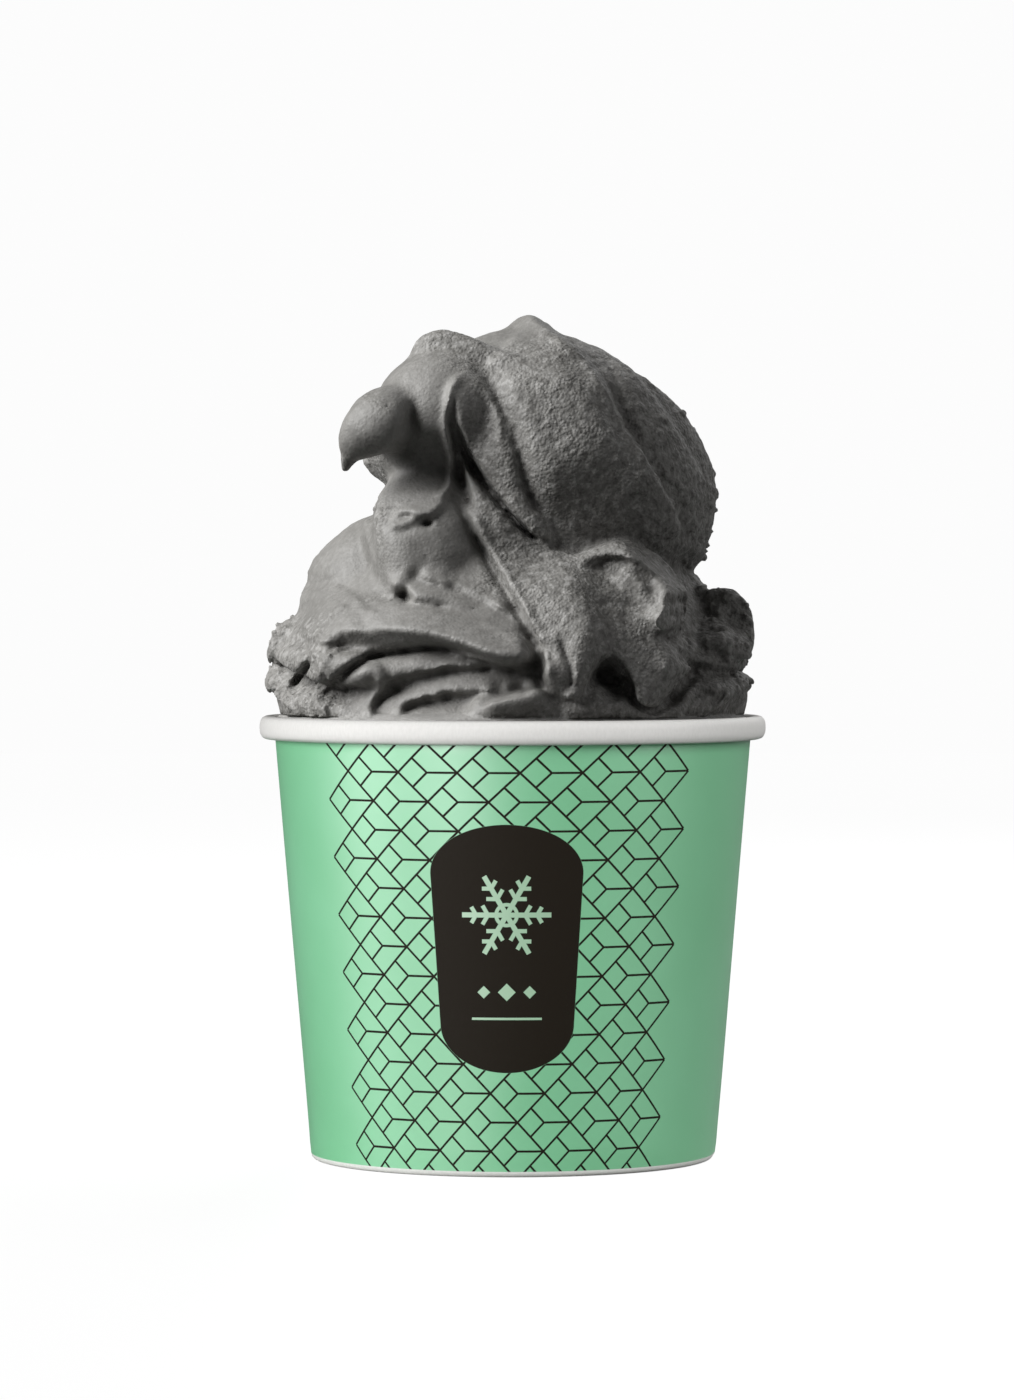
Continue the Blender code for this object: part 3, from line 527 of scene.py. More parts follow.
def new_piece(name, mesh):
    """An object in the scene with this mesh."""
    obj = bpy.data.objects.new(name, mesh)
    bpy.context.scene.collection.objects.link(obj)
    return obj


def get_points(mesh):
    """The places of the vertices."""
    v = np.empty(len(mesh.vertices) * 3, np.float32)
    mesh.vertices.foreach_get("co", v)
    return v.reshape(-1, 3).astype(float)


def get_normals(mesh):
    """The outward directions of the vertices."""
    v = np.empty(len(mesh.vertices) * 3, np.float32)
    mesh.vertex_normals.foreach_get("vector", v)
    return v.reshape(-1, 3).astype(float)


def set_points(mesh, points):
    """Puts the vertices in these places."""
    mesh.vertices.foreach_set("co", points.astype(np.float32).ravel())
    mesh.update()


def applied(obj):
    """Replaces the piece's mesh by what its modifiers make of it."""
    bpy.context.view_layer.update()
    done = obj.evaluated_get(bpy.context.evaluated_depsgraph_get())
    mesh = bpy.data.meshes.new_from_object(done)
    obj.modifiers.clear()
    before = obj.data
    obj.data = mesh
    bpy.data.meshes.remove(before)


def fused(obj, voxel):
    """Melts the closed shapes of a mesh into one skin."""
    melt = obj.modifiers.new("fuse", "REMESH")
    melt.mode = "VOXEL"
    melt.voxel_size = voxel
    applied(obj)


def soften(mesh, rounds):
    """Moves every vertex halfway to the middle of its neighbours, some rounds over."""
    v = get_points(mesh)
    ends = np.empty(len(mesh.edges) * 2, np.int32)
    mesh.edges.foreach_get("vertices", ends)
    a, b = ends.reshape(-1, 2).T
    count = np.bincount(ends, minlength=len(v))[:, None]
    for _ in range(rounds):
        total = np.stack(
            [np.bincount(a, v[b, k], len(v)) + np.bincount(b, v[a, k], len(v)) for k in range(3)], 1)
        v = 0.5 * (v + total / np.maximum(count, 1))
    set_points(mesh, v)


def to_line(points, line):
    """Distance to a line of points, the side it lies on (+1 left of it), and the share of the way along."""
    best = np.full(len(points), np.inf)
    side = np.zeros(len(points))
    along = np.zeros(len(points))
    for k in range(len(line) - 1):
        run = line[k + 1] - line[k]
        t = np.clip((points - line[k]) @ run / max(run @ run, 1e-12), 0, 1)
        off = points - line[k] - t[:, None] * run
        distance = np.hypot(off[:, 0], off[:, 1])
        nearer = distance < best
        best = np.where(nearer, distance, best)
        side = np.where(nearer, np.sign(run[0] * off[:, 1] - run[1] * off[:, 0]), side)
        along = np.where(nearer, (k + t) / (len(line) - 1), along)
    return best, side, along


def is_inside(points, ring):
    """True where a level line to the right crosses the ring an odd number of times."""
    odd = np.zeros(len(points), bool)
    for (x0, y0), (x1, y1) in zip(ring, np.roll(ring, -1, axis=0)):
        if y0 != y1:
            crosses = (y0 > points[:, 1]) != (y1 > points[:, 1])
            odd ^= crosses & (points[:, 0] < x0 + (x1 - x0) * (points[:, 1] - y0) / (y1 - y0))
    return odd


def near(points, line, reach):
    """True for points in the box round a line, widened by reach."""
    return np.all((points > line.min(0) - reach) & (points < line.max(0) + reach), axis=1)


def sheet_lift(points, outline, rounding, under, reach):
    """A draped sheet's height: the lifts named round its outline, blended by nearness, times a quarter
    circle over the rounding at its edge; just outside the edge the surface sinks by under."""
    lift = np.zeros(len(points))
    ring = around_through(outline)
    chosen = near(points, ring[:, :2], 3 * reach)
    q = points[chosen]
    distance = to_line(q, np.concatenate([ring, ring[:1]])[:, :2])[0]
    apart = np.hypot(*(q[:, None] - ring[None, ::2, :2]).transpose(2, 0, 1))
    weight = 1 / (apart ** 2.5 + 0.05)
    edge = (weight * ring[::2, 2]).sum(1) / weight.sum(1)
    t = np.clip(distance / rounding, 0, 1)
    raised = edge * np.sqrt(1 - (1 - t) ** 2)
    sunk = -under * edge / ring[:, 2].max() * np.exp(-(distance / reach) ** 2)
    lift[chosen] = np.where(is_inside(q, ring[:, :2]), raised, sunk)
    return lift


def stroke_lift(points, kind, path, size, reach, fade, groove=0, cut=0):
    """A ridge is size times a bell curve of the distance; a step is that on one side of the path, left
    of it for a positive size, and a groove on the other; a crest slopes down straight, over the reach on
    its left and the cut on its right. All fade in and out along the path."""
    lift = np.zeros(len(points))
    line = through(path, 6 * len(path))
    chosen = near(points, line, 3 * reach)
    distance, side, along = to_line(points[chosen], line)
    strength = ease(along / fade[0]) * ease((1 - along) / fade[1])
    bell = size * np.exp(-(distance / reach) ** 2)
    if kind == "step":
        dip = -groove * np.exp(-(distance / cut) ** 2)
        bell = np.where(side * np.sign(size) >= 0, np.abs(bell), dip)
    elif kind == "crest":
        bell = size * np.clip(1 - distance / np.where(side > 0, reach, cut), 0, None)
    lift[chosen] = bell * strength
    return lift


def pressed(mesh, sheets, strokes):
    """Moves what faces each of four eyes towards it, by the lifts of its sheets and strokes."""
    for turn in (0, 90, 180, 270):
        draped = [s[1:] for s in sheets if s[0] == turn]
        drawn = [s[1:] for s in strokes if s[0] == turn]
        v = get_points(mesh)
        across, height, _ = seen(v, turn)
        a = math.radians(turn)
        look = np.array([math.sin(a), -math.cos(a), 0])
        facing = ease(get_normals(mesh) @ look / FACING)
        spots = np.stack([across, height], 1)
        lift = np.zeros(len(v))
        for sheet in draped:
            lift += sheet_lift(spots, *sheet)
        for stroke in drawn:
            lift += stroke_lift(spots, *stroke)
        set_points(mesh, v + (lift * facing)[:, None] * look)


def lattice_noise(points, size, seed):
    """Smooth noise from -1 to 1: a fixed scattered value at each corner of a grid of that size, eased
    between the corners."""
    p = points / size
    corner = np.floor(p).astype(np.int64)
    share = ease(p - corner)
    total = np.zeros(len(p))
    for step in np.ndindex(2, 2, 2):
        key = ((corner + step) * SCATTER).sum(1) ^ (seed * 9973)
        key = ((key ^ (key >> 13)) * 1274126177) & 0xFFFFFFFF
        value = ((key ^ (key >> 16)) & 0xFFFF) / 32767.5 - 1
        total += value * np.prod(np.where(step, share, 1 - share), axis=1)
    return total


def noise_spots(points, size, seed, start, over):
    """Spots where the noise is high: 0 up to start, 1 from over more."""
    return ease((lattice_noise(points, size, seed) - start) / over)


def iciness(points):
    """Low where the gelato was smoothed by the spatula, 1 where it is icy and torn."""
    rough = np.ones(len(points))
    for centre, radii in SMOOTH_SPOTS.values():
        distance = np.linalg.norm((points - centre) / radii, axis=1)
        rough = np.minimum(rough, ease((distance - 0.8) / 0.5))
    return LEAST_ICY + (1 - LEAST_ICY) * rough


def frosted(mesh):
    """Pushes the skin out along its normals by noise of falling sizes, and raises scattered crumbs."""
    v = get_points(mesh)
    rough = iciness(v)
    push = np.zeros(len(v))
    for seed, (size, height, icy_height) in enumerate(GRAIN, 1):
        push += (height + icy_height * rough) * lattice_noise(v, size, seed)
    torn = ease((np.abs(v[:, 0]) - TORN_FROM) / TORN_OVER)
    crumbs = noise_spots(v, *CRUMBS) * noise_spots(v, *CRUMB_PATCHES)
    push += (CRUMB_HEIGHT + TORN_CRUMB_HEIGHT * torn) * rough * crumbs
    set_points(mesh, v + get_normals(mesh) * push[:, None])


def held_by_rim(mesh):
    """Keeps the heap within the rim: a last stretch of room holds all that reaches beyond its start, as
    start + room * (1 - exp(-beyond / room))."""
    v = get_points(mesh)
    radius = np.hypot(v[:, 0], v[:, 1])
    most = np.minimum(MOUND_WIDEST, MOUND_FOOT_RADIUS + MOUND_SPREAD * np.clip(v[:, 2], 0, None))
    start = most - RIM_ROOM
    pressed_in = start + RIM_ROOM * (1 - np.exp(-(radius - start) / RIM_ROOM))
    held = np.where(radius > start, pressed_in, radius)
    v[:, :2] *= (held / np.maximum(radius, 1e-6))[:, None]
    set_points(mesh, v)


def joined(grids):
    """The points and faces of several ring grids as one mesh."""
    start = 0
    faces = []
    for grid in grids:
        faces.append(ring_faces(*grid.shape[:2], start))
        start += grid.shape[0] * grid.shape[1]
    return np.concatenate([g.reshape(-1, 3) for g in grids]), np.concatenate(faces)


def thinned(obj, triangles):
    """Merges triangles where the surface is flattest until that many are left."""
    obj.data.calc_loop_triangles()
    thin = obj.modifiers.new("thin", "DECIMATE")
    thin.ratio = min(1.0, triangles / len(obj.data.loop_triangles))
    thin.use_collapse_triangulate = True
    applied(obj)


def boolean(obj, other, operation):
    """Adds another piece to this one, or cuts it away, and deletes it."""
    cut = obj.modifiers.new(operation.lower(), "BOOLEAN")
    cut.operation = operation
    cut.object = other
    cut.solver = "MANIFOLD"
    applied(obj)
    bpy.data.objects.remove(other)


def wall_radius(z):
    """The wall's outer radius at a height."""
    return WALL_FOOT_RADIUS + WALL_SLOPE * z


def spun(profile, angles, change=None):
    """A grid of points: each (radius, height) of the profile at each angle; change(radius, height, angle)
    gives the radius its local swell."""
    r = np.asarray(profile, float)[:, 0][:, None]
    z = np.asarray(profile, float)[:, 1][:, None] * np.ones_like(angles)[None, :]
    a = angles[None, :]
    radius = r * np.ones_like(a) if change is None else change(r, z, a)
    return np.stack([radius * np.sin(a), -radius * np.cos(a), z], -1)


def plug_piece():
    """The gelato inside the cup, up into the heap: a turned profile closed at its poles."""
    top = CUP_HEIGHT + PLUG_RISE
    floor = DISC_TOP + GAP
    neck = CUP_HEIGHT - 2 * RIM_HALF_HEIGHT
    clear = BOARD + GAP
    profile = [
        (POLE_RADIUS, top), (NECK_RADIUS - 3, top), (NECK_RADIUS, CUP_HEIGHT),
        (wall_radius(neck) - clear, neck), (wall_radius(floor + 1) - clear, floor + 1),
        (wall_radius(floor) - clear - 1, floor), (POLE_RADIUS, floor)]
    angles = np.linspace(0, 2 * math.pi, 128, endpoint=False)
    grid = spun(profile[::-1], angles)
    obj = new_piece("plug", mesh_from("plug", grid.reshape(-1, 3), ring_faces(*grid.shape[:2])))
    close_poles(obj.data)
    return obj


def gelato_piece():
    """The heap: masses, curls and folds fused, then pressed with sheets and strokes and frosted."""
    grids = [ellipsoid(*mass) for mass in MASSES.values()]
    grids += [roll(path, wide, wide, face) for path, wide, face in CURLS.values()]
    grids += [roll(lay(path, turn), wide, thick) for turn, path, wide, thick in FOLDS.values()]
    obj = new_piece("gelato_heap", mesh_from("gelato_heap", *joined(grids)))
    fused(obj, FIRST_VOXEL)
    soften(obj.data, 6)
    broad = [s for s in STROKES.values() if s[1] != "ridge" or s[4] >= BROAD_REACH]
    fine = [s for s in STROKES.values() if s not in broad]
    pressed(obj.data, SHEETS.values(), broad)
    fused(obj, SECOND_VOXEL)
    soften(obj.data, 1)
    pressed(obj.data, (), fine)
    fused(obj, LAST_VOXEL)
    soften(obj.data, 1)
    frosted(obj.data)
    held_by_rim(obj.data)
    set_points(obj.data, get_points(obj.data) + (0, 0, CUP_HEIGHT))
    boolean(obj, slab(CUP_HEIGHT + MOUND_UNDERSIDE), "DIFFERENCE")
    boolean(obj, plug_piece(), "UNION")
    thinned(obj, HEAP_TRIANGLES)
    store_looks(obj.data)
    return finished(obj, "gelato")


def slab(top):
    """A closed box from far below up to a height, wider than the object."""
    half, depth = 90, 60
    square = ((-half, -half), (half, -half), (half, half), (-half, half))
    corner = np.array([[x, y, z] for z in (top - depth, top) for x, y in square])
    faces = np.array([[3, 2, 1, 0], [4, 5, 6, 7], [0, 1, 5, 4], [1, 2, 6, 5], [2, 3, 7, 6], [3, 0, 4, 7]])
    return new_piece("slab", mesh_from("slab", corner, faces))


def store(mesh, name, values):
    """Keeps one number for each vertex as an attribute that a material reads."""
    layer = mesh.attributes.new(name, "FLOAT", "POINT")
    layer.data.foreach_set("value", values.astype(np.float32))


def store_looks(mesh):
    """Keeps for the material how icy the skin is, and how hollow: how far it lies inside its smoothed
    copy, from which the material paints shade into the hollows and light onto the bulges."""
    v = get_points(mesh)
    normals = get_normals(mesh)
    store(mesh, "iciness", iciness(v - (0, 0, CUP_HEIGHT)))
    soften(mesh, HOLLOW_ROUNDS)
    store(mesh, "hollow", ((get_points(mesh) - v) * normals).sum(1))
    set_points(mesh, v)


def finished(obj, node):
    """Scales the piece's mesh to metres, shades it smooth and puts it in the place of its CAD node."""
    set_points(obj.data, get_points(obj.data) * METRE)
    obj.data.shade_smooth()
    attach(obj, "root")
    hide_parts(node)
    return obj


def arc(centre, radii, start, end, count, squareness=2.0):
    """Points on an oval from one angle to another in degrees; a higher squareness makes it boxier."""
    a = np.radians(np.linspace(start, end, count))
    x = np.sign(np.cos(a)) * np.abs(np.cos(a)) ** (2 / squareness)
    z = np.sign(np.sin(a)) * np.abs(np.sin(a)) ** (2 / squareness)
    return [(centre[0] + radii[0] * u, centre[1] + radii[1] * w) for u, w in zip(x, z)]


def straight(start, end, count):
    """Evenly spaced points from start up to, but without, the end."""
    t = np.linspace(0, 1, count, endpoint=False)[:, None]
    return [tuple(p) for p in np.asarray(start) + t * (np.asarray(end) - start)]


def wall_profile():
    """The side wall's section, run all the way round: rim, outside, foot, fold and inside."""
    curl_start, curl_end = 172, -104
    tuck_rise, tuck_gap, bevel = 0.25, 0.2, 0.1
    rim = (RIM_RADIUS - RIM_HALF_WIDTH, CUP_HEIGHT - RIM_HALF_HEIGHT)
    bead = arc(rim, (RIM_HALF_WIDTH, RIM_HALF_HEIGHT), curl_start, curl_end, 44, RIM_SQUARENESS)
    tuck_z = rim[1] - RIM_HALF_HEIGHT + tuck_rise
    tuck_radius = wall_radius(tuck_z)
    tuck = [(tuck_radius + 0.35, tuck_z - 0.12), (tuck_radius + 0.02, tuck_z + tuck_gap)]
    high, low = tuck_z - tuck_gap, 1.2
    outside = straight((wall_radius(high), high), (wall_radius(low), low), 40)
    centre = (wall_radius(0) - FOOT_ROUNDING, FOOT_ROUNDING)
    foot = arc(centre, (FOOT_ROUNDING, FOOT_ROUNDING), 0, -90, 9)
    fold_outer = wall_radius(0) - 2 * BOARD - 2 * GAP - BOARD
    fold_inner = fold_outer - BOARD
    rounding, inside_foot = 0.5, BOARD + 0.05
    fold_foot = arc((fold_inner + rounding, rounding), (rounding, rounding), 270, 180, 6)
    lean = WALL_SLOPE * FOLD_HEIGHT
    fold = [
        (fold_inner + lean, FOLD_HEIGHT - bevel), (fold_inner + lean + bevel, FOLD_HEIGHT),
        (fold_outer + lean - bevel, FOLD_HEIGHT), (fold_outer + lean, FOLD_HEIGHT - bevel),
        (fold_outer, inside_foot)]
    inside = straight((wall_radius(BOARD) - BOARD, inside_foot), (tuck_radius - BOARD, tuck_z), 24)
    return bead + tuck + outside + foot + fold_foot + fold + inside


def seam_angles():
    """Angles round the wall, closer together across the seam's edge."""
    beside = 1.6
    even = np.linspace(0, 2 * math.pi, 320, endpoint=False)
    edge = SEAM_ANGLE + np.linspace(-beside, beside, 17) / WALL_FOOT_RADIUS
    return np.sort(np.concatenate([even, edge]))


def wall_swell(r, z, angle):
    """The radius and what it gains. The seam's overlap lifts the outer face by its step for the seam's
    width: sharply at the glued edge, easing back at the other. The board also bends out of round, by two
    and by five waves a turn of about a tenth of a millimetre. Both fade out at the foot and at the rim."""
    outer = ease((r - (wall_radius(z) - 0.25)) / 0.2)
    run = (SEAM_ANGLE - angle) * WALL_FOOT_RADIUS
    overlap = ease((run + 0.1) / 0.35) * ease((SEAM_WIDTH - run) / 3.0)
    above_rim = ease((z - (CUP_HEIGHT - 2 * RIM_HALF_HEIGHT)) / 0.6)
    bend = 0.10 * np.sin(2 * angle + 0.6) + 0.06 * np.sin(5 * angle + z / 23) * ease(z / 20)
    rise = SEAM_STEP * (1 - 0.75 * above_rim) * overlap * outer * ease(z / 1.2)
    return r + rise + bend * (1 - above_rim) * ease(z / 6)


def wall_piece():
    """The side wall with its rolled rim and folded foot: a closed profile spun round the axis."""
    grid = spun(wall_profile(), seam_angles(), wall_swell)
    faces = ring_faces(*grid.shape[:2], closed=True)
    obj = new_piece("paper_wall", mesh_from("paper_wall", grid.reshape(-1, 3), faces[:, ::-1]))
    return finished(obj, "cup_wall")


def base_profile():
    """The base's section from the axis out over the disc, down the skirt and back under."""
    rounding, bevel, ring = 0.6, 0.1, 20
    top = wall_radius(DISC_TOP) - BOARD - GAP
    foot = 2 * BOARD
    skirt = wall_radius(foot) - BOARD - GAP
    under = DISC_TOP - BOARD
    edge = arc((top - rounding, DISC_TOP - rounding), (rounding, rounding), 90, 0, 7)
    corner = wall_radius(under) - 2 * BOARD - GAP
    return [(POLE_RADIUS, DISC_TOP), (ring, DISC_TOP)] + edge + [
        (skirt, foot + bevel), (skirt - bevel, foot),
        (skirt - BOARD + bevel, foot), (skirt - BOARD, foot + bevel),
        (corner - 0.05, under - 0.5), (corner - 0.5, under), (ring, under), (POLE_RADIUS, under)]


def base_piece():
    """The base disc with its skirt: a profile spun round the axis, its two ends closed at the axis."""
    angles = np.linspace(0, 2 * math.pi, 160, endpoint=False)
    grid = spun(base_profile(), angles)
    faces = ring_faces(*grid.shape[:2])
    obj = new_piece("paper_base", mesh_from("paper_base", grid.reshape(-1, 3), faces[:, ::-1]))
    close_poles(obj.data)
    return finished(obj, "cup_base")


def close_poles(mesh):
    """Draws the small rings round the axis together into one point each."""
    shape = bmesh.new()
    shape.from_mesh(mesh)
    middle = [v for v in shape.verts if math.hypot(v.co.x, v.co.y) < 2 * POLE_RADIUS]
    bmesh.ops.remove_doubles(shape, verts=middle, dist=3 * POLE_RADIUS)
    shape.to_mesh(mesh)
    shape.free()


class Field:
    """A number that varies over a surface: a node's output, with arithmetic that adds Math nodes."""

    def __init__(self, paint, socket):
        self.paint = paint
        self.socket = socket

    def math(self, operation, *others):
        """A Math node's result for this and the others."""
        return self.paint.node("ShaderNodeMath", {"operation": operation}, self, *others).out()

    def __add__(self, other):
        return self.math("ADD", other)

    __radd__ = __add__

    def __sub__(self, other):
        return self.math("SUBTRACT", other)

    def __rsub__(self, other):
        return self.paint.node("ShaderNodeMath", {"operation": "SUBTRACT"}, other, self).out()

    def __mul__(self, other):
        return self.math("MULTIPLY", other)

    __rmul__ = __mul__

    def __truediv__(self, other):
        return self.math("DIVIDE", other)

    def __abs__(self):
        return self.math("ABSOLUTE")

    def floor(self):
        """The whole number at or below this."""
        return self.math("FLOOR")

    def share(self):
        """What is left above the whole number."""
        return self.math("FRACT")

    def least(self, other):
        """The smaller of the two."""
        return self.math("MINIMUM", other)

    def most(self, other):
        """The larger of the two."""
        return self.math("MAXIMUM", other)

    def over(self, other):
        """1 where this is greater than the other, else 0."""
        return self.math("GREATER_THAN", other)

    def ramp(self, low, high):
        """0 at low, 1 at high, eased between."""
        made = self.paint.node(
            "ShaderNodeMapRange", {"interpolation_type": "SMOOTHSTEP", "clamp": True}, self, low, high)
        return made.out()


class Made:
    """A node just made; out() reads one of its outputs as a field."""

    def __init__(self, paint, node):
        self.paint = paint
        self.node = node

    def out(self, name=0):
        """One output, by its number or name."""
        return Field(self.paint, self.node.outputs[name])


class Paint:
    """The nodes of a material, or of the room, that end in its shader."""

    def __init__(self, owner, shader="Principled BSDF"):
        owner.use_nodes = True
        self.owner = owner
        self.tree = owner.node_tree
        self.shader = self.tree.nodes[shader]

    def feed(self, socket, value):
        """Links a field to a socket or sets its value; None leaves it as it is."""
        if isinstance(value, Field):
            self.tree.links.new(value.socket, socket)
        elif value is not None:
            socket.default_value = value

    def node(self, kind, settings, *values, **named):
        """Any node: its type, its settings, then values or links for its sockets in order or by name."""
        made = self.tree.nodes.new(kind)
        for key, setting in settings.items():
            setattr(made, key, setting)
        for socket, value in zip(made.inputs, values):
            self.feed(socket, value)
        for key, value in named.items():
            self.feed(made.inputs[key.replace("_", " ")], value)
        return Made(self, made)

    def set(self, **named):
        """Values or links for the shader's own sockets."""
        for key, value in named.items():
            self.feed(self.shader.inputs[key.replace("_", " ")], value)

    def place(self):
        """The object's own coordinates in mm as three fields."""
        here = self.node("ShaderNodeTexCoord", {}).out("Object")
        apart = self.node("ShaderNodeSeparateXYZ", {}, here)
        return [apart.out(k) * MM_IN_METRE for k in "XYZ"]

    def noise(self, size, detail=2.0, roughness=0.5, stretch=(1, 1, 1)):
        """Noise from 0 to 1 whose lumps are about size mm, on the object's own coordinates."""
        here = self.node("ShaderNodeTexCoord", {}).out("Object")
        scaled = self.node("ShaderNodeMapping", {}, here, Scale=stretch).out()
        return self.node(
            "ShaderNodeTexNoise", {}, Vector=scaled, Scale=MM_IN_METRE / size, Detail=detail,
            Roughness=roughness).out("Fac")

    def grains(self, size):
        """Round grains about size mm apart: 1 at each grain's middle, 0 between them."""
        here = self.node("ShaderNodeTexCoord", {}).out("Object")
        apart = self.node(
            "ShaderNodeTexVoronoi", {"feature": "SMOOTH_F1"}, Vector=here, Scale=MM_IN_METRE / size,
            Smoothness=0.6).out("Distance")
        return 1 - apart.ramp(0.1, 0.75)

    def mix(self, share, first, second):
        """The first colour where share is 0 and the second where it is 1."""
        before_colours = [None] * 5
        colours = [c if isinstance(c, Field) else (*c, 1) for c in (first, second)]
        return self.node("ShaderNodeMix", {"data_type": "RGBA"}, share, *before_colours, *colours).out(2)

    def bump(self, height, distance):
        """Feeds the shader's normal with a bump of that height in mm."""
        made = self.node("ShaderNodeBump", {}, Strength=1.0, Distance=distance * METRE, Height=height)
        self.set(Normal=made.out())


def lattice_lines(angle, z):
    """1 on the printed lines: a lattice of diamonds, each with three spokes.

    Across and down, columns and rows are counted so that the two sets of slanting lines are where
    s = across + down / 2 and t = across - down / 2 are whole numbers. In each diamond the spokes are
    s = t beyond the middle, t = 1/2 before it and s = 1/2 before it."""
    up = (z - LATTICE_FOOT) / LATTICE_RISE
    column = (COLUMN_ANGLE + COLUMN_GAIN * up) * math.radians(1)
    across = (angle - math.radians(LATTICE_TURN) - math.radians(LATTICE_LEAN) * up) / column
    down = (ROW_TOP - z) / ROW_SPACING
    s = across + down * 0.5 - 0.5
    t = across - down * 0.5 - 0.5
    half = LINE_WIDTH / 2
    cell_s, cell_t = s.floor(), t.floor()
    in_s, in_t = s - cell_s, t - cell_t
    whole_s, whole_t = (s + 0.5).floor(), (t + 0.5).floor()

    def drawn(first, second, extra=0):
        """1 between the lattice's two ends."""
        middle = (first + second) * 0.5
        return middle.over(LATTICE_LEFT) * (1 - middle.over(LATTICE_RIGHT + extra))

    inside = drawn(cell_s, cell_t)
    on_s = line_at(abs(s - whole_s) * LINE_PITCH, half) * drawn(whole_s, cell_t, 0.5)
    on_t = line_at(abs(t - whole_t) * LINE_PITCH, half) * drawn(cell_s, whole_t, 0.5)
    spoke_right = line_at(abs(in_s - in_t) * ROW_SPACING, half) * in_s.over(0.5) * in_t.over(0.48)
    spoke_up = line_at(abs(in_t - 0.5) * LINE_PITCH, half) * (1 - in_s.over(0.5))
    spoke_down = line_at(abs(in_s - 0.5) * LINE_PITCH, half) * (1 - in_t.over(0.5))
    spokes = spoke_right.most(spoke_up).most(spoke_down) * inside
    return on_s.most(on_t).most(spokes)


def line_at(distance, half):
    """1 within half a line's width of its middle, with a soft edge."""
    return 1 - distance.ramp(half - 0.06, half + 0.06)


def badge_field(angle, z):
    """1 inside the badge: a tapering field with a half oval at its head and another at its foot."""
    up = (z.most(BADGE_LOW).least(BADGE_HIGH) - BADGE_LOW) / (BADGE_HIGH - BADGE_LOW)
    half = (BADGE_HALF_ANGLE + BADGE_GAIN * up) * math.radians(1)
    side = (angle - math.radians(BADGE_ANGLE)) / half
    head = (z - BADGE_HIGH).most(0) / BADGE_HEAD_CAP
    foot = (BADGE_LOW - z).most(0) / BADGE_FOOT_CAP
    return 1 - (side * side + head * head + foot * foot).ramp(0.99, 1.01)


def snow_motif(x, z):
    """1 on the badge's motif: a six-armed snow crystal with small side twigs, three diamonds and a rule."""
    centre, arm_reach, arm_half = 48.5, 8.2, 0.45
    twigs, twig_half = ((3.4, 2.0), (5.6, 1.7)), 0.36
    ring_radius, ring_half = 1.9, 0.32
    gem_height, gems = 34.3, ((-4.2, 1.15), (0, 1.6), (4.2, 1.15))
    rule_height, rule_reach, rule_half = 29.4, 6.4, 0.2
    sixth = math.radians(60)
    up = z - centre
    far = (x * x + up * up).math("POWER", 0.5)
    turn = ((up.math("ARCTAN2", x) / sixth + 0.5).share() - 0.5) * sixth
    along = far * turn.math("COSINE")
    off = abs(far * turn.math("SINE"))
    motif = line_at(off, arm_half) * (1 - along.over(arm_reach))
    for start, length in twigs:
        twig_off = abs((along - start) * math.sin(sixth) - off * math.cos(sixth))
        twig_along = (along - start) * math.cos(sixth) + off * math.sin(sixth)
        twig = line_at(twig_off, twig_half) * twig_along.over(0) * (1 - twig_along.over(length))
        motif = motif.most(twig)
    motif = motif.most(line_at(abs(far - ring_radius), ring_half))
    motif = motif.most(line_at(abs(z - rule_height), rule_half) * (1 - abs(x).over(rule_reach)))
    for middle, size in gems:
        gem = abs(x - middle) + abs(z - gem_height)
        motif = motif.most(1 - gem.ramp(size - 0.08, size + 0.08))
    return motif


def paint_board():
    """Printed board: mint ink with the dark lattice and badge at the front and the back, a white rim,
    foot and inside, and the print's satin coat."""
    paint = Paint(bpy.data.materials.new("printed_board"))
    x, y, z = paint.place()
    turn = x.math("ARCTAN2", -1 * y)
    behind = abs(turn).over(math.radians(90))
    from_back = turn - math.radians(180) * (turn.over(0) * 2 - 1)
    angle = turn + behind * (from_back - turn)
    radius = (x * x + y * y).math("POWER", 0.5)
    board_radius = z * WALL_SLOPE + WALL_FOOT_RADIUS
    outer = (radius - board_radius).ramp(-0.24, -0.2)
    below_rim = 1 - z.ramp(PRINT_TOP, PRINT_TOP + 0.06)
    printed = outer * below_rim * z.ramp(PRINT_FOOT - 0.05, PRINT_FOOT + 0.05)
    badge = badge_field(angle, z)
    across = (angle - math.radians(BADGE_ANGLE)) * board_radius
    motif = snow_motif(across, z) * badge
    lines = lattice_lines(angle, z) * (1 - badge)
    cloud = paint.noise(38, 3.0, 0.55)
    mint = paint.mix(cloud.ramp(0.35, 0.7), MINT_DEEP, MINT)
    dark = lines.most(badge) * (1 - motif)
    inked = paint.mix(dark, mint, INK)
    inked = paint.mix(motif, inked, MOTIF)
    fibres = paint.noise(0.5, 3.0, 0.6, (1, 1, 0.45))
    white = paint.mix(fibres.ramp(0.3, 0.7), WHITE_DEEP, WHITE)
    colour = paint.mix(printed, white, inked)
    paint.set(Base_Color=colour)
    paint.set(Roughness=0.5 + 0.2 * printed * dark + 0.08 * (fibres - 0.5))
    paint.set(Coat_Weight=printed * (1 - dark), Coat_Roughness=0.42, Coat_IOR=2.5)
    paint.set(Specular_IOR_Level=0.25)
    paint.bump(fibres * 0.5 + paint.noise(6.0, 2.0) + lines.most(badge) * printed * 0.2, 0.035)
    return paint.owner


def paint_white_board():
    """Bare white board of the base: fibres, faint mottling and a soft sheen."""
    paint = Paint(bpy.data.materials.new("white_board"))
    fibres = paint.noise(0.6, 3.0, 0.6)
    mottle = paint.noise(9.0, 2.0)
    paint.set(Base_Color=paint.mix(mottle.ramp(0.3, 0.7), WHITE_DEEP, WHITE))
    paint.set(Roughness=0.55 + 0.12 * (fibres - 0.5))
    paint.bump(fibres + mottle * 0.6, 0.04)
    return paint.owner


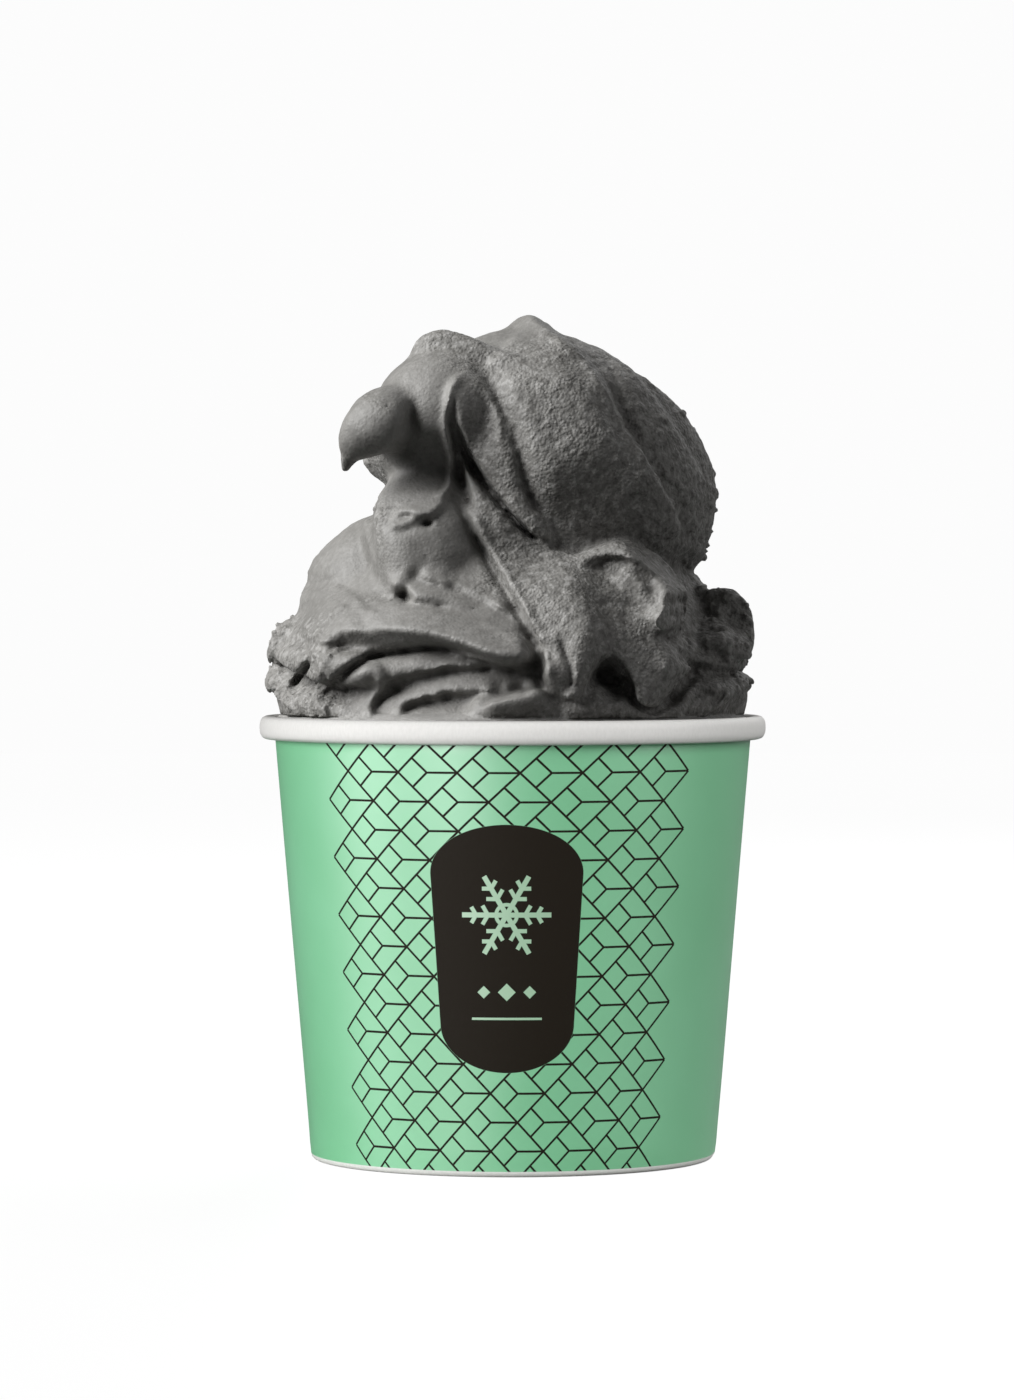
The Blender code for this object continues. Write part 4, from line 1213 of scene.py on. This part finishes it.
def paint_gelato():
    """Grey gelato: warm grey mottled a little, satin and smooth where spread, icy and rough where torn;
    painted shade darkens its hollows and painted light lightens its bulges.
    """
    paint = Paint(bpy.data.materials.new("gelato"))
    icy = paint.node("ShaderNodeAttribute", {"attribute_name": "iciness"}).out("Fac")
    cloud = paint.noise(14, 3.0, 0.55)
    speck = paint.noise(1.3, 2.0, 0.6)
    grey = paint.mix(cloud.ramp(0.3, 0.72), GELATO_DARK, GELATO)
    grey = paint.mix(icy * speck.ramp(0.52, 0.66) * 0.65, grey, GELATO_FROST_AND_HIGHLIGHT)
    grey = paint.mix(icy * (1 - speck.ramp(0.34, 0.48)) * 0.7, grey, GELATO_PIT)
    # Painted shade: the hollows darken towards near-black
    hollow = paint.node("ShaderNodeAttribute", {"attribute_name": "hollow"}).out("Fac")
    grey = paint.mix(hollow.ramp(0.05, 0.7) * 0.7, grey, GELATO_HOLLOW_SHADE)
    # Painted light: the bulges lighten towards the frost grey
    grey = paint.mix(hollow.ramp(-0.1, -0.6) * 0.35, grey, GELATO_FROST_AND_HIGHLIGHT)
    paint.set(Base_Color=grey)
    paint.set(Roughness=0.55 + 0.1 * icy + 0.1 * (cloud - 0.5))
    paint.set(Specular_IOR_Level=0.4)
    patch = paint.noise(7.0, 2.0).ramp(0.3, 0.7)
    rough = (0.1 + 0.9 * icy) * (0.55 + 0.45 * patch)
    paint.bump((paint.grains(0.62) * 0.4 + paint.noise(1.15, 2.0, 0.6)) * rough, 0.28)
    return paint.owner


def coated(obj, material):
    """Gives the piece one material in place of any it has."""
    obj.data.materials.clear()
    obj.data.materials.append(material)


def eye():
    """The camera at the photograph's place: level with the heap, a little to the left, tilted slightly
    down."""
    camera = bpy.data.cameras.new("eye")
    camera.lens = EYE_LENS
    camera.sensor_width = EYE_SENSOR
    obj = bpy.data.objects.new("eye", camera)
    bpy.context.scene.collection.objects.link(obj)
    obj.location = (EYE_ACROSS * METRE, -EYE_DISTANCE * METRE, (CUP_HEIGHT + EYE_HEIGHT) * METRE)
    obj.rotation_euler = (math.radians(90 - EYE_TILT), 0, 0)
    bpy.context.scene.camera = obj


def softbox(name, azimuth, elevation, distance, size, power, lit):
    """A square light aimed at the object from an angle round from the front, degrees to the right, and an
    angle up; it lights only the pieces in lit, or everything if there are none."""
    light = bpy.data.lights.new(name, "AREA")
    light.shape = "SQUARE"
    light.size = size
    light.energy = power
    obj = bpy.data.objects.new(name, light)
    bpy.context.scene.collection.objects.link(obj)
    a, e = math.radians(azimuth), math.radians(elevation)
    aim = Vector((0, 0, AIM_HEIGHT))
    away = Vector((math.sin(a) * math.cos(e), -math.cos(a) * math.cos(e), math.sin(e)))
    obj.location = aim + distance * away
    obj.rotation_euler = away.to_track_quat("Z", "Y").to_euler()
    if lit:
        group = bpy.data.collections.new(name)
        for piece in lit:
            group.objects.link(piece)
        obj.light_linking.receiver_collection = group


def studio(groups):
    """Softboxes round the cup and a steeper one from the left for the heap, in a room that is bright to the
    camera and dim to the pieces."""
    for name, (*place, group) in SOFTBOXES.items():
        softbox(name, *place, groups[group])
    room = Paint(bpy.data.worlds.new("room"), "Background")
    bpy.context.scene.world = room.owner
    seen_directly = room.node("ShaderNodeLightPath", {}).out("Is Camera Ray")
    strength = room.node("ShaderNodeMapRange", {}, seen_directly, To_Min=ROOM_LIGHT, To_Max=BACKDROP)
    room.set(Color=(1, 1, 1, 1), Strength=strength.out())
    bpy.context.scene.view_settings.view_transform = "Standard"


def floor_piece():
    """A round pale floor that glows white to the camera, with the object's soft shadow on it."""
    angles = np.linspace(0, 2 * math.pi, 96, endpoint=False)
    grid = spun([(radius, FLOOR_HEIGHT) for radius in FLOOR_RINGS], angles)
    obj = new_piece("floor", mesh_from("floor", grid.reshape(-1, 3) * METRE, ring_faces(*grid.shape[:2])))
    paint = Paint(bpy.data.materials.new("pale_floor"))
    seen_directly = paint.node("ShaderNodeLightPath", {}).out("Is Camera Ray")
    paint.set(Base_Color=paint.mix(seen_directly, FLOOR_LIT, FLOOR_SEEN), Roughness=0.4)
    paint.set(Emission_Color=paint.mix(seen_directly, (0, 0, 0), FLOOR_GLOW), Emission_Strength=1.0)
    coated(obj, paint.owner)


def main():
    """Makes the pieces, their finishes, the eye, the lights and the floor."""
    wall, base, heap = wall_piece(), base_piece(), gelato_piece()
    coated(wall, paint_board())
    coated(base, paint_white_board())
    coated(heap, paint_gelato())
    eye()
    studio({"cup": (wall, base), "heap": (heap,), "all": ()})
    floor_piece()


main()
